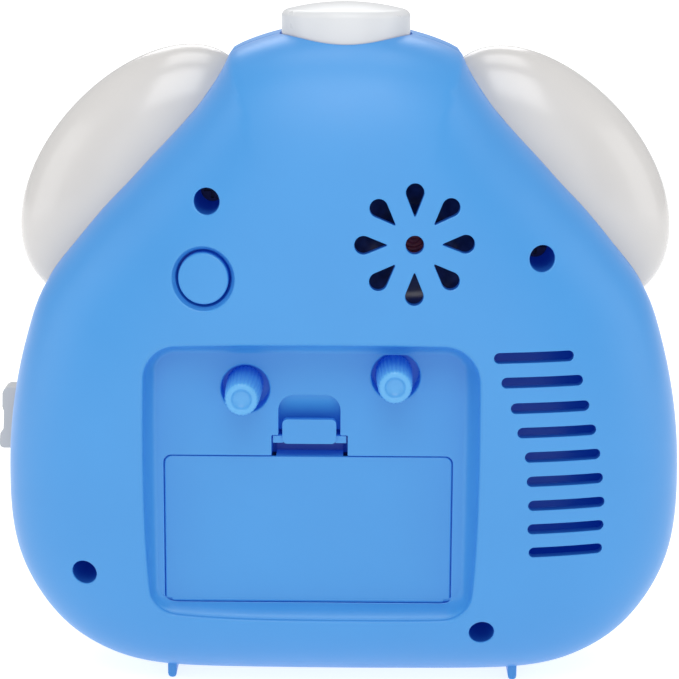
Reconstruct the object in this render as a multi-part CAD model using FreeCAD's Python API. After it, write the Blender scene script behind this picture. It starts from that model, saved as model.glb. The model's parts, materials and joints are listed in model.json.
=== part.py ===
# Kids alarm clock with night light, rear shell, front shell, dial train and controls.
# Millimetres.  +Z is up, the dial faces -Y, the battery door faces +Y.
# Working frame: the plane where the two shells meet is Y = 0, the feet stand on Z = 0.
# The finished solids are moved so that the middle of the whole box stands on the origin.
import FreeCAD, Part
import math, os

os.makedirs("parts", exist_ok=True)
V = FreeCAD.Vector

# ------------------------------------------------------------------ driving dimensions
WALL = 2.2                 # shell wall
REAR_H = 30.0              # rear dome height over the parting plane
REAR_P, REAR_Q = 2.5, 3.0  # roundness of the rear dome, across and in depth
DOME_CZ = 57.0             # height of the middle of the rear dome
FRONT_CZ = 61.4            # height of the middle of the dial
FRONT_FACE = -32.0         # flat front of the front shell
FLOOR_Y = 21.2             # floor of the rear control panel
FLOOR_T = 1.7
KNOB_BORES = ((19.60, 65.25), (-10.40, 67.90))
KNOB_AX = (19.88, 65.25)   # time setting axis
KNOB_BX = (-10.12, 67.85)  # alarm setting axis
DIAL_C = (0.0, 61.4)       # hands axis
DOOR = (-21.9, 35.95, 20.5, 51.3)        # battery door x0 x1 z0 z1
DOOR_T = 1.5
CELL_R, CELL_L = 7.1, 50.0               # AA cell
CELL_Y, CELL_X = 12.3, 7.05
CELL_Z = (28.9, 43.3)
SCREWS = ((26.9, 103.2), (-38.9, 92.15), (52.4, 26.9), (-28.35, 15.2))
SCREW_BORE_R = 2.55
GRILLE = (-13.7, 95.5)
SNOOZE = (27.5, 88.4)
SNOOZE_R = 5.0
TOP_R = 13.05              # top button
SWITCH_Y, SWITCH_Z = -7.0, 52.6
VENTS = ((-29.6, -45.25, 73.2), (-31.15, -47.2, 68.3), (-33.1, -48.6, 63.15), (-34.5, -50.1, 58.2),
         (-36.1, -51.1, 53.2), (-36.6, -51.8, 48.2), (-37.0, -52.3, 43.2), (-37.0, -52.3, 38.25),
         (-37.4, -52.2, 33.25))
VENT_H = 1.85
FOOT_X = 35.85
# half outline of the shells at the parting plane: half width, height
HALF = [(0, 136.0), (7, 135.6), (12.9, 134.6), (17.5, 133.3), (21.6, 131.7), (23.4, 130.5), (24.1, 129.0),
        (25.2, 126.7), (26.7, 124.2), (28.4, 121.8), (30.3, 119.3), (32.5, 116.9), (34.8, 114.4), (39.5, 109.5),
        (44.1, 104.5), (48.9, 99.55), (53.2, 94.55), (57.3, 89.5), (60.8, 84.7), (62.4, 81.9), (63.6, 79.15),
        (65.2, 74.2), (66.6, 69.1), (67.75, 63.95), (68.65, 58.85), (69.3, 53.7), (69.7, 48.55), (69.85, 43.4),
        (69.65, 35.6), (68.4, 27.8), (65.3, 20.1), (62.0, 15.0), (57.8, 10.5), (52.4, 6.75), (46.6, 4.2),
        (39.8, 2.65), (30, 1.95), (15, 1.75), (0, 1.7)]

# ------------------------------------------------------------------ helpers


def box(x0, x1, y0, y1, z0, z1):
    return Part.makeBox(x1 - x0, y1 - y0, z1 - z0, V(x0, y0, z0))


def cyl(x, z, r, y0, y1):
    return Part.makeCylinder(r, y1 - y0, V(x, y0, z), V(0, 1, 0))


def cylx(y, z, r, x0, x1):
    return Part.makeCylinder(r, x1 - x0, V(x0, y, z), V(1, 0, 0))


def cylz(x, y, r, z0, z1):
    return Part.makeCylinder(r, z1 - z0, V(x, y, z0), V(0, 0, 1))


def tube(x, z, ro, ri, y0, y1):
    return cyl(x, z, ro, y0, y1).cut(cyl(x, z, ri, y0 - 1, y1 + 1))


def fuse(*s):
    out = s[0]
    rest = list(s[1:])
    if rest:
        out = out.multiFuse(rest)
    return out


def cut(a, *s):
    return a.cut(list(s)) if len(s) > 1 else a.cut(s[0])


def rrect(x0, x1, z0, z1, r, y):
    """rounded rectangle wire in the plane Y = y"""
    k = r * (1 - math.sqrt(0.5))
    p = lambda a, b: V(a, y, b)
    e = [Part.makeLine(p(x0 + r, z0), p(x1 - r, z0)),
         Part.Arc(p(x1 - r, z0), p(x1 - k, z0 + k), p(x1, z0 + r)).toShape(),
         Part.makeLine(p(x1, z0 + r), p(x1, z1 - r)),
         Part.Arc(p(x1, z1 - r), p(x1 - k, z1 - k), p(x1 - r, z1)).toShape(),
         Part.makeLine(p(x1 - r, z1), p(x0 + r, z1)),
         Part.Arc(p(x0 + r, z1), p(x0 + k, z1 - k), p(x0, z1 - r)).toShape(),
         Part.makeLine(p(x0, z1 - r), p(x0, z0 + r)),
         Part.Arc(p(x0, z0 + r), p(x0 + k, z0 + k), p(x0 + r, z0)).toShape()]
    return Part.Wire(e)


def rprism(x0, x1, z0, z1, r, y0, y1):
    return Part.Face(rrect(x0, x1, z0, z1, r, y0)).extrude(V(0, y1 - y0, 0))


def poly_x(pts, x0, x1):
    """(y, z) polygon extruded along X"""
    w = Part.makePolygon([V(x0, y, z) for y, z in pts] + [V(x0, pts[0][0], pts[0][1])])
    return Part.Face(w).extrude(V(x1 - x0, 0, 0))


def poly_y(pts, y0, y1):
    """(x, z) polygon extruded along Y"""
    w = Part.makePolygon([V(x, y0, z) for x, z in pts] + [V(pts[0][0], y0, pts[0][1])])
    return Part.Face(w).extrude(V(0, y1 - y0, 0))


def rev_y(prof, cx, cz):
    """closed (r, y) profile turned about the axis along Y through (cx, cz)"""
    pts = [V(cx + r, y, cz) for r, y in prof]
    w = Part.makePolygon(pts + [pts[0]])
    return Part.Face(w).revolve(V(cx, 0, cz), V(0, 1, 0), 360)


def coil_spring(r0, r1, turns, h, wire, steps=14, sides=6):
    """spring along +Z from z = 0 to h (centres of the wire), radius r0 at the foot and r1 at the top"""
    ws = []
    n = int(round(turns * steps))
    for i in range(n + 1):
        t = i / float(n)
        a = 2 * math.pi * turns * t
        r = r0 + (r1 - r0) * t
        c = V(r * math.cos(a), r * math.sin(a), h * t)
        tg = V(-r * math.sin(a), r * math.cos(a), h / (2 * math.pi * turns))
        tg.normalize()
        u = V(math.cos(a), math.sin(a), 0)
        w = tg.cross(u)
        w.normalize()
        pts = []
        for k in range(sides):
            b = 2 * math.pi * (k + 0.5) / sides
            pts.append(c + u * (wire * math.cos(b)) + w * (wire * math.sin(b)))
        ws.append(Part.makePolygon(pts + [pts[0]]))
    return Part.makeLoft(ws, True, True)


def rev_z(edges, cx=0.0, cy=0.0):
    return Part.Face(Part.Wire(edges)).revolve(V(cx, cy, 0), V(0, 0, 1), 360)


def gear(cx, cz, m, z, y0, y1, phase=0.0, bore=0.0):
    """spur gear, teeth with straight flanks and ample backlash; phase is the angle of one tooth"""
    rr, ra = m * (z / 2.0 - 1.22), m * (z / 2.0 + 0.82)
    p = 2 * math.pi / z
    pts = []
    for k in range(z):
        a = phase + k * p
        for r, d in ((rr, -0.29), (ra, -0.11), (ra, 0.11), (rr, 0.29)):
            pts.append((cx + r * math.cos(a + d * p), cz + r * math.sin(a + d * p)))
    s = poly_y(pts, y0, y1)
    if bore:
        s = s.cut(cyl(cx, cz, bore, y0 - 1, y1 + 1))
    return s


def mesh_phase(a, b, z):
    """phase of gear b (z teeth) so that a gap of b faces a tooth of a that points at b"""
    return math.atan2(a[1] - b[1], a[0] - b[0]) + math.pi / z


def face_angle(a, b):
    return math.atan2(b[1] - a[1], b[0] - a[0])


# closed outline curve, evenly sampled
_pts = HALF + [(-x, z) for x, z in HALF[-2:0:-1]]
_c = Part.BSplineCurve()
_c.interpolate(Points=[V(x, 0, z) for x, z in _pts], PeriodicFlag=True)
N_OUT = 90
OUT = []
_f, _l = _c.FirstParameter, _c.LastParameter
_d = _c.toShape().discretize(Number=N_OUT + 1)[:-1]
for _q in _d:
    OUT.append((_q.x, _q.z))
_par = [0.0]
for _i in range(N_OUT):
    _a, _b = OUT[_i], OUT[(_i + 1) % N_OUT]
    _par.append(_par[-1] + math.hypot(_b[0] - _a[0], _b[1] - _a[1]))
PAR = [v / _par[-1] for v in _par]           # one parameter list keeps all sections alike
_area = sum(OUT[i][0] * OUT[(i + 1) % N_OUT][1] - OUT[(i + 1) % N_OUT][0] * OUT[i][1] for i in range(N_OUT))
if _area < 0:
    OUT = [OUT[0]] + OUT[:0:-1]
    PAR = [1.0 - v for v in PAR[::-1]]


def inset(t):
    res = []
    for i in range(N_OUT):
        x0, z0 = OUT[i - 1]
        x1, z1 = OUT[(i + 1) % N_OUT]
        dx, dz = x1 - x0, z1 - z0
        n = math.hypot(dx, dz)
        res.append((OUT[i][0] - t * dz / n, OUT[i][1] + t * dx / n))
    return res


def soft(pts, n, cz):
    """the same outline with its corners relaxed n times, at the same mean radius about (0, cz)"""
    m = len(pts)
    r0 = sum(math.hypot(x, z - cz) for x, z in pts)
    for _ in range(n):
        pts = [(0.25 * pts[i - 1][0] + 0.5 * pts[i][0] + 0.25 * pts[(i + 1) % m][0],
                0.25 * pts[i - 1][1] + 0.5 * pts[i][1] + 0.25 * pts[(i + 1) % m][1]) for i in range(m)]
    k = r0 / sum(math.hypot(x, z - cz) for x, z in pts)
    return [(x * k, cz + (z - cz) * k) for x, z in pts]


def section(pts, s, cz, y, w=0.0):
    """outline scaled by s about (0, cz); w mixes in the relaxed outline"""
    if w > 0:
        sm = soft(pts, 24, cz)
        pts = [(a[0] * (1 - w) + b[0] * w, a[1] * (1 - w) + b[1] * w) for a, b in zip(pts, sm)]
    b = Part.BSplineCurve()
    b.interpolate(Points=[V(x * s, y, cz + (z - cz) * s) for x, z in pts], PeriodicFlag=True, Parameters=PAR)
    return Part.Wire([b.toShape()])


def ease(s, lo, hi):
    """0 above hi, 1 below lo, smooth between"""
    t = min(1.0, max(0.0, (hi - s) / (hi - lo)))
    return t * t * (3 - 2 * t)


def rear_dome(t, h):
    """solid rear dome with the outline set in by t, height h, open plane at Y = -1"""
    pts = inset(t) if t else OUT
    f = h / 30.0
    ws = [section(pts, 1.0, DOME_CZ, -1.0)]
    for y in (0.0, 4.0, 8.0, 12.0, 15.5, 18.5, 21.0, 23.2, 25.0, 26.5, 27.7, 28.6, 29.3, 29.75):
        s = (1 - (y / 30.0) ** REAR_Q) ** (1.0 / REAR_P)
        ws.append(section(pts, s, DOME_CZ, y * f, ease(s, 0.70, 0.995)))
    return Part.makeLoft(ws, True, False)


def front_dome(t, face):
    pts = inset(t) if t else OUT
    k = face / -32.0
    ws = [section(pts, 1.0, FRONT_CZ, 1.0)]
    for y, s in ((0.0, 1.0), (-4.0, 1.004), (-9.0, 1.003), (-14.0, 0.996), (-19.0, 0.978), (-23.5, 0.947),
                 (-27.0, 0.903), (-29.6, 0.848), (-31.3, 0.785), (-32.0, 0.722)):
        ws.append(section(pts, s, FRONT_CZ, y * k if y < 0 else y, ease(s, 0.70, 0.995) if y < -9 else 0.0))
    return Part.makeLoft(ws, True, False)


PARTS = {}


def put(name, shape):
    PARTS[name] = shape


REAR_OUT = rear_dome(0.0, REAR_H)
REAR_IN = rear_dome(WALL, REAR_H - WALL)
FRONT_OUT = front_dome(0.0, FRONT_FACE)
FRONT_IN = front_dome(WALL, FRONT_FACE + WALL)
BEHIND = box(-90, 90, 0.0, 60, -10, 160)      # the rear half space
AHEAD = box(-90, 90, -60, 0.0, -10, 160)

# ------------------------------------------------------------------ rear shell


def recess(grow, y_floor):
    """drafted well of the control panel, grown outward by grow"""
    f = (-24.3 - grow, 37.75 + grow, 20.25 - grow, 72.7 + grow)
    dy = 32.0 - y_floor
    top = (f[0] - 0.34 * dy, f[1] + 0.32 * dy, f[2] - 0.56 * dy, f[3] + 0.36 * dy)
    w0 = rrect(f[0], f[1], f[2], f[3], 4.2 + grow, y_floor)
    w1 = rrect(top[0], top[1], top[2], top[3], 8.5 + grow, 32.0)
    return Part.makeLoft([w0, w1], True, True)


well = recess(0.0, FLOOR_Y)
tub = recess(1.6, FLOOR_Y - FLOOR_T).common(REAR_OUT)

shell = REAR_OUT.common(BEHIND).cut(REAR_IN)
adds = [tub]
# battery tray under the door
adds.append(box(-22.6, 36.7, 3.8, FLOOR_Y - 1.65, 20.4, 52.1))
# housing of the latch pocket
adds.append(box(-2.1, 15.6, 13.2, FLOOR_Y - 1.0, 51.0, 57.2))
adds.append(box(-0.8, 14.3, 14.4, FLOOR_Y - 1.0, 56.0, 65.6))
# bosses of the four case screws
for (x, z) in SCREWS:
    adds.append(cyl(x, z, 4.3, 0.0, 29.0).common(REAR_OUT))
# speaker seat
adds.append(tube(GRILLE[0], GRILLE[1], 19.2, 17.9, 16.6, 29.0).common(REAR_OUT))
adds.append(tube(GRILLE[0], GRILLE[1], 18.0, 16.4, 18.2, 29.0).common(REAR_OUT))
# sleeve of the rear button
adds.append(tube(SNOOZE[0], SNOOZE[1], 6.6, 5.2, 22.4, 29.0).common(REAR_OUT))
# posts that carry the main board
BOARD_POSTS = ((15.5, 82.0), (40.5, 82.0), (15.5, 95.0), (40.5, 95.0))
for (x, z) in BOARD_POSTS:
    adds.append(cyl(x, z, 1.9, 12.5, 29.0).common(REAR_OUT))
shell = fuse(shell, *adds)
tools = [well]
# cavity for the two cells and the door opening
tools.append(box(-21.2, 35.3, 5.0, FLOOR_Y + 1, 21.6, 50.9))
tools.append(rprism(-22.1, 36.15, 20.3, 51.5, 1.6, FLOOR_Y - 1.65, FLOOR_Y + 1))
# room for the lower corners of the door when it stands open
tools.append(box(-22.15, 36.2, FLOOR_Y - 1.05, FLOOR_Y + 1.7, 20.15, 22.5))
# sockets of the door pins
tools.append(cylx(20.45, 21.25, 0.56, -23.0, -21.0))
tools.append(cylx(20.45, 21.25, 0.56, 35.0, 37.05))
# latch slot and its well, open to the cells
tools.append(box(-0.9, 14.4, 14.4, FLOOR_Y + 1, 50.5, 55.7))
tools.append(rprism(0.6, 13.0, 50.0, 64.05, 3.2, 14.0, 24.0).common(
    poly_x([(22.5, 64.2), (20.7, 64.2), (19.6, 62.2), (17.9, 59.4), (16.6, 57.4), (15.9, 55.6), (22.5, 55.6)], 0, 14)))
# knob bores
for (x, z) in KNOB_BORES:
    tools.append(cyl(x, z, 4.85, 15.0, 26.0))
# screw bores with a seat at the bottom
for (x, z) in SCREWS:
    tools.append(cyl(x, z, SCREW_BORE_R, 4.0, 32.0))
    tools.append(cyl(x, z, 1.65, -1.0, 5.0))
# rear button hole
tools.append(cyl(SNOOZE[0], SNOOZE[1], SNOOZE_R + 0.45, 20.0, 32.0))
# grille: centre hole and eight drops
tools.append(cyl(GRILLE[0], GRILLE[1], 1.78, 20.0, 32.0))
for k in range(8):
    a = math.radians(90 + 45 * k)
    c, s = math.cos(a), math.sin(a)
    tip, rc, rd = 5.3, 9.95, 1.78
    d = rc - tip
    b = math.acos(rd / d)
    px = [(tip, 0.0)]
    t1 = (rc + rd * math.cos(math.pi - b), rd * math.sin(math.pi - b))
    t2 = (t1[0], -t1[1])
    loc = lambda u, v: V(GRILLE[0] + u * c - v * s, 20.0, GRILLE[1] + u * s + v * c)
    w = Part.Wire([Part.makeLine(loc(tip, 0), loc(*t1)),
                   Part.Arc(loc(*t1), loc(rc + rd, 0), loc(*t2)).toShape(),
                   Part.makeLine(loc(*t2), loc(tip, 0))])
    tools.append(Part.Face(w).extrude(V(0, 12, 0)))
# vent slots
for (xr, xl, z) in VENTS:
    h = VENT_H / 2.0
    tools.append(rprism(xl, xr, z - h, z + h, h * 0.98, 14.0, 32.0))
# half of the top button hole
tools.append(cylz(0, 0, TOP_R + 0.35, 122.0, 145.0))
shell = cut(shell, *tools)
# bearing webs behind the knob bores
webs = []
for (x, z), (ax, az) in zip(KNOB_BORES, (KNOB_AX, KNOB_BX)):
    webs.append(cyl(x, z, 6.0, 14.2, FLOOR_Y - 0.5).cut(cyl(x, z, 4.85, 15.6, 26.0)).cut(cyl(ax, az, 1.95, 10, 30)))
# rear pair of feet
for sx in (-1, 1):
    fx = sx * FOOT_X
    rib = Part.Face(Part.Wire([Part.makeLine(V(fx - 0.92, 2.0, 6.0), V(fx - 0.92, 2.0, 0.8)),
                               Part.makeLine(V(fx - 0.92, 2.0, 0.8), V(fx - 0.35, 2.0, 0.0)),
                               Part.makeLine(V(fx - 0.35, 2.0, 0.0), V(fx + 0.35, 2.0, 0.0)),
                               Part.makeLine(V(fx + 0.35, 2.0, 0.0), V(fx + 0.92, 2.0, 0.8)),
                               Part.makeLine(V(fx + 0.92, 2.0, 0.8), V(fx + 0.92, 2.0, 6.0)),
                               Part.makeLine(V(fx + 0.92, 2.0, 6.0), V(fx - 0.92, 2.0, 6.0))])).extrude(V(0, 8.3, 0))
    webs.append(rib.cut(REAR_IN))
shell = fuse(shell, *webs)
put("rear_shell", shell)

# ------------------------------------------------------------------ front shell
fshell = FRONT_OUT.common(AHEAD).cut(FRONT_IN)
fadds = []
for (x, z) in SCREWS:
    fadds.append(cyl(x, z, 3.6, -33.0, -0.15).common(FRONT_OUT))
# ring that backs the dial, and posts for the light ring board
fadds.append(tube(DIAL_C[0], DIAL_C[1], 41.6, 36.6, -32.0, -24.2).common(FRONT_OUT))
for sx in (-1, 1):
    fx = sx * FOOT_X
    rib = Part.Face(Part.Wire([Part.makeLine(V(fx - 0.92, -19.0, 6.0), V(fx - 0.92, -19.0, 0.8)),
                               Part.makeLine(V(fx - 0.92, -19.0, 0.8), V(fx - 0.35, -19.0, 0.0)),
                               Part.makeLine(V(fx - 0.35, -19.0, 0.0), V(fx + 0.35, -19.0, 0.0)),
                               Part.makeLine(V(fx + 0.35, -19.0, 0.0), V(fx + 0.92, -19.0, 0.8)),
                               Part.makeLine(V(fx + 0.92, -19.0, 0.8), V(fx + 0.92, -19.0, 6.0)),
                               Part.makeLine(V(fx + 0.92, -19.0, 6.0), V(fx - 0.92, -19.0, 6.0))])).extrude(V(0, 15.0, 0))
    fadds.append(rib.cut(FRONT_IN))
# ledges under the bracket of the top button
for sx in (-1, 1):
    led = box(17.5, 34.0, -6.5, -0.15, 116.4, 118.35) if sx > 0 else box(-34.0, -17.5, -6.5, -0.15, 116.4, 118.35)
    fadds.append(led.common(FRONT_OUT))
# ledges that hold the slide switch
fadds.append(box(60.0, 70.5, SWITCH_Y - 5.4, SWITCH_Y + 5.4, SWITCH_Z + 9.2, SWITCH_Z + 10.6).common(FRONT_OUT))
fadds.append(box(60.0, 70.5, SWITCH_Y - 5.4, SWITCH_Y + 5.4, SWITCH_Z - 10.6, SWITCH_Z - 9.2).common(FRONT_OUT))
fshell = fuse(fshell, *fadds)
ftools = [cyl(DIAL_C[0], DIAL_C[1], 37.2, -40, -20)]
ftools.append(tube(DIAL_C[0], DIAL_C[1], 44.7, 41.9, -34.0, -31.0))     # groove of the light ring
LEDS = []
for a in (45, 135, 225, 315):
    x = DIAL_C[0] + 43.3 * math.cos(math.radians(a))
    z = DIAL_C[1] + 43.3 * math.sin(math.radians(a))
    LEDS.append((x, z))
    ftools.append(cyl(x, z, 1.75, -34, -24))
for (x, z) in SCREWS:
    ftools.append(cyl(x, z, 1.15, -14.0, 1.0))
ftools.append(box(60, 80, SWITCH_Y - 3, SWITCH_Y + 3, SWITCH_Z - 8.8, SWITCH_Z + 8.8))
ftools.append(cylz(0, 0, TOP_R + 0.35, 122.0, 145.0))
# seats of the two ear pegs
EAR_C = (43.9, 106.3)        # middle of the two pegs, on the flank
EAR_E = (47.0, 106.6)        # middle of the ear
EAR_AXES = (15.6, 12.6, 29.7)
EAR_TILT = 36.8
EAR_N = (0.781, 0.624)
EAR_T = (0.624, -0.781)
EAR_Y = -11.0
for sx in (-1, 1):
    for k in (-11.0, 11.0):
        bx, bz = EAR_C[0] + EAR_T[0] * k, EAR_C[1] + EAR_T[1] * k
        ftools.append(Part.makeCylinder(1.6, 20, V(sx * (bx - 10 * EAR_N[0]), EAR_Y, bz - 10 * EAR_N[1]),
                                        V(sx * EAR_N[0], 0, EAR_N[1])))
for sx in (-1, 1):
    ftools.append(cylz(sx * 20.5, -3, 0.7, 114, 119))
# shadow line where the two shells meet
ftools.append(Part.Face(section([(x * 1.02, z * 1.02 - 1.0) for x, z in OUT], 1.0, DOME_CZ, -0.35)).extrude(V(0, 0.6, 0)).cut(
    Part.Face(section(inset(0.28), 1.0, DOME_CZ, -0.5)).extrude(V(0, 1.0, 0))))
fshell = cut(fshell, *ftools)
put("front_shell", fshell)
put("bracket_screws", Part.makeCompound([fuse(cylz(sx * 20.5, -3, 1.7, 119.95, 121.2), cylz(sx * 20.5, -3, 0.65, 116.8, 120.0))
                                         for sx in (-1, 1)]))

# ------------------------------------------------------------------ ears
BODY = FRONT_OUT.common(AHEAD).fuse(REAR_OUT.common(BEHIND))
for name, sx in (("ear_left", 1), ("ear_right", -1)):
    sp = Part.makeSphere(1.0)
    m = FreeCAD.Matrix()
    m.scale(V(*EAR_AXES))
    sp = sp.transformGeometry(m)
    sp.rotate(V(0, 0, 0), V(0, 1, 0), -EAR_TILT)
    sp.translate(V(EAR_E[0], EAR_Y, EAR_E[1]))
    if sx < 0:
        sp = sp.mirror(V(0, 0, 0), V(1, 0, 0))
    grown = BODY.copy()
    ear = sp.cut(grown)
    pins = []
    for k in (-11.0, 11.0):
        bx, bz = EAR_C[0] + EAR_T[0] * k, EAR_C[1] + EAR_T[1] * k
        pins.append(Part.makeCylinder(1.5, 8.0, V(sx * (bx - 5 * EAR_N[0]), EAR_Y, bz - 5 * EAR_N[1]),
                                      V(sx * EAR_N[0], 0, EAR_N[1])))
    solids = sorted(ear.Solids, key=lambda s: -s.Volume)
    ear = fuse(solids[0], *pins)
    holes = []
    for k in (-11.0, 11.0):
        bx, bz = EAR_C[0] + EAR_T[0] * k, EAR_C[1] + EAR_T[1] * k
        holes.append(Part.makeCylinder(0.55, 12.0, V(sx * (bx - 6 * EAR_N[0]), EAR_Y, bz - 6 * EAR_N[1]),
                                       V(sx * EAR_N[0], 0, EAR_N[1])))
    ear = cut(ear, *holes)
    put(name, ear)
scr = []
for sx in (-1, 1):
    for k in (-11.0, 11.0):
        bx, bz = EAR_C[0] + EAR_T[0] * k, EAR_C[1] + EAR_T[1] * k
        d = V(sx * EAR_N[0], 0, EAR_N[1])
        o = V(sx * bx, EAR_Y, bz)
        head = Part.makeCylinder(2.3, 1.2, o - d * 6.25, d)
        shank = Part.makeCylinder(0.5, 8.0, o - d * 5.1, d)
        scr.append(head.fuse(shank))
put("ear_screws", Part.makeCompound(scr))

# ------------------------------------------------------------------ top button
TOP_APEX, TOP_RIM = 140.9, 137.9
R_DOME = ((TOP_R - 0.9) ** 2 + (TOP_APEX - TOP_RIM) ** 2) / (2 * (TOP_APEX - TOP_RIM))
z0 = 127.3
P_ = [V(14.4, 0, z0), V(14.4, 0, 128.3), V(TOP_R, 0, 128.3), V(TOP_R, 0, 136.9)]
ball = Part.makeSphere(R_DOME, V(0, 0, TOP_APEX - R_DOME))
arc1 = Part.Arc(V(TOP_R, 0, 136.9), V(TOP_R - 0.26, 0, 137.6), V(TOP_R - 0.85, 0, 138.05)).toShape()
edges = [Part.makeLine(P_[0], P_[1]), Part.makeLine(P_[1], P_[2]), Part.makeLine(P_[2], P_[3]), arc1,
         Part.makeLine(V(TOP_R - 0.85, 0, 138.05), V(TOP_R - 0.85, 0, 142.0)),
         Part.makeLine(V(TOP_R - 0.85, 0, 142.0), V(0, 0, 142.0)),
         Part.makeLine(V(0, 0, 142.0), V(0, 0, 135.6)), Part.makeLine(V(0, 0, 135.6), V(11.4, 0, 135.6)),
         Part.makeLine(V(11.4, 0, 135.6), V(11.4, 0, z0)), Part.makeLine(V(11.4, 0, z0), P_[0])]
cap = rev_z(edges)
cap = cap.common(fuse(ball, cylz(0, 0, 20, 120, 137.0)))
stem = cylz(0, 0, 2.4, 120.6, 137.0)
collar = cylz(0, 0, 5.2, 131.0, 136.0).cut(cylz(0, 0, 4.2, 129.0, 135.7))
put("top_button", fuse(cap, stem, collar))
# spring round the stem, between the cap and its seat
sp = coil_spring(3.3, 3.3, 7, 14.7, 0.33)
sp.translate(V(0, 0, 120.35))
put("top_button_spring", sp)
seat = box(-23, 23, -6, 6, 118.4, 119.9)
seat = cut(seat, cylz(0, 0, 2.55, 110, 125), cylz(-20.5, -3, 0.95, 110, 125), cylz(20.5, -3, 0.95, 110, 125))
put("button_bracket", seat)
kb = fuse(box(-9, 9, -5.5, 5.5, 112.4, 113.6), box(-3, 3, -3, 3, 113.6, 117.1), cylz(0, 0, 1.7, 117.1, 118.35))
kb = fuse(kb, box(-8.9, -7.4, -5.4, 5.4, 113.6, 118.4), box(7.4, 8.9, -5.4, 5.4, 113.6, 118.4))
put("key_switch", kb)

# ------------------------------------------------------------------ rear button
blank = cyl(SNOOZE[0], SNOOZE[1], SNOOZE_R, 23.6, 32.0)
skin = REAR_OUT.copy()
skin.translate(V(0, -0.25, 0))
face = blank.common(skin)
flange = cyl(SNOOZE[0], SNOOZE[1], SNOOZE_R, 21.0, 23.7)
lug = box(SNOOZE[0] - 6.2, SNOOZE[0] + 6.2, 21.0, 22.2, SNOOZE[1] - 1.5, SNOOZE[1] + 1.5)
bstem = cyl(SNOOZE[0], SNOOZE[1], 1.6, 17.6, 21.2)
put("rear_button", fuse(face, flange, lug, bstem))
board = box(13.0, 43.0, 11.0, 12.4, 79.5, 97.5)
holes = [cyl(x, z, 0.9, 10, 13) for (x, z) in BOARD_POSTS]
board = cut(board, *holes)
put("main_board", board)
tact = fuse(box(SNOOZE[0] - 3, SNOOZE[0] + 3, 12.45, 15.9, SNOOZE[1] - 3, SNOOZE[1] + 3),
            cyl(SNOOZE[0], SNOOZE[1], 1.5, 15.9, 16.35))
chip = box(33.0, 38.0, 12.45, 13.9, 84.0, 92.0)
cap1 = cyl(18.5, 89.5, 2.0, 12.45, 17.5)
cap2 = box(17.0, 21.0, 12.45, 13.6, 84.0, 86.2)
put("tact_switch", tact)
put("board_parts", Part.makeCompound([chip, cap1, cap2]))
bs = []
for (x, z) in BOARD_POSTS:
    bs.append(fuse(cyl(x, z, 1.6, 9.9, 10.95), cyl(x, z, 0.8, 10.9, 12.5)))
put("board_screws", Part.makeCompound(bs))

# ------------------------------------------------------------------ slide switch
SZ, SY = SWITCH_Z, SWITCH_Y
sp_ = [(66.2, -6.6), (72.7, -6.6), (73.3, -6.3), (73.5, -5.6), (73.3, -3.4), (72.6, -2.4), (72.4, 1.4), (72.7, 2.4),
       (72.6, 5.4), (72.2, 6.3), (71.6, 6.6), (66.2, 6.6)]
slid = poly_y([(a_, SZ + b_) for a_, b_ in sp_], SY - 2.75, SY + 2.75)
slid = fuse(slid, box(62.6, 66.4, SY - 0.9, SY + 0.9, SZ - 1.6, SZ + 1.6))
put("mode_slider", slid)
sb = cut(box(59.5, 65.9, SY - 4.0, SY + 4.0, SZ - 9.0, SZ + 9.0), box(61.0, 67, SY - 1.1, SY + 1.1, SZ - 4.0, SZ + 4.0))
sb = fuse(sb, box(58.3, 59.6, SY - 3.2, SY - 2.6, SZ - 3.0, SZ - 2.4), box(58.3, 59.6, SY - 3.2, SY - 2.6, SZ + 2.4, SZ + 3.0),
          box(58.3, 59.6, SY - 3.2, SY - 2.6, SZ - 0.3, SZ + 0.3))
put("switch_body", sb)

# ------------------------------------------------------------------ battery door and latch
x0, x1, z0, z1 = DOOR
door = rprism(x0, x1, z0, z1, 1.5, FLOOR_Y - DOOR_T, FLOOR_Y)
door = cut(door, box(x0 - 1, x1 + 1, FLOOR_Y - 3, FLOOR_Y + 2, z0 - 1, 21.25))
barrel = cylx(20.45, 21.25, 0.75, x0 + 1.3, x1 - 1.3)
pins = cylx(20.45, 21.25, 0.48, x0 - 0.8, x1 + 0.8)
leg = fuse(box(0.0, 13.5, 14.9, 19.9, 50.3, 51.2))
ribs = [box(x0 + 3, x1 - 3, 19.0, 19.8, 35.6, 36.6)]
put("battery_door", fuse(door, barrel, pins, leg, *ribs))
latch = fuse(box(0.0, 13.5, 14.9, 15.8, 51.3, 55.0),
             box(-0.5, 14.0, 14.9, 20.3, 54.1, 55.0),
             rprism(1.4, 12.2, 54.1, 59.1, 1.0, 20.0, FLOOR_Y + 0.45),
             box(-0.6, 1.5, 19.6, 20.9, 54.1, 55.55), box(12.1, 14.1, 19.6, 20.9, 54.1, 55.55))
put("battery_latch", latch)

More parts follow.
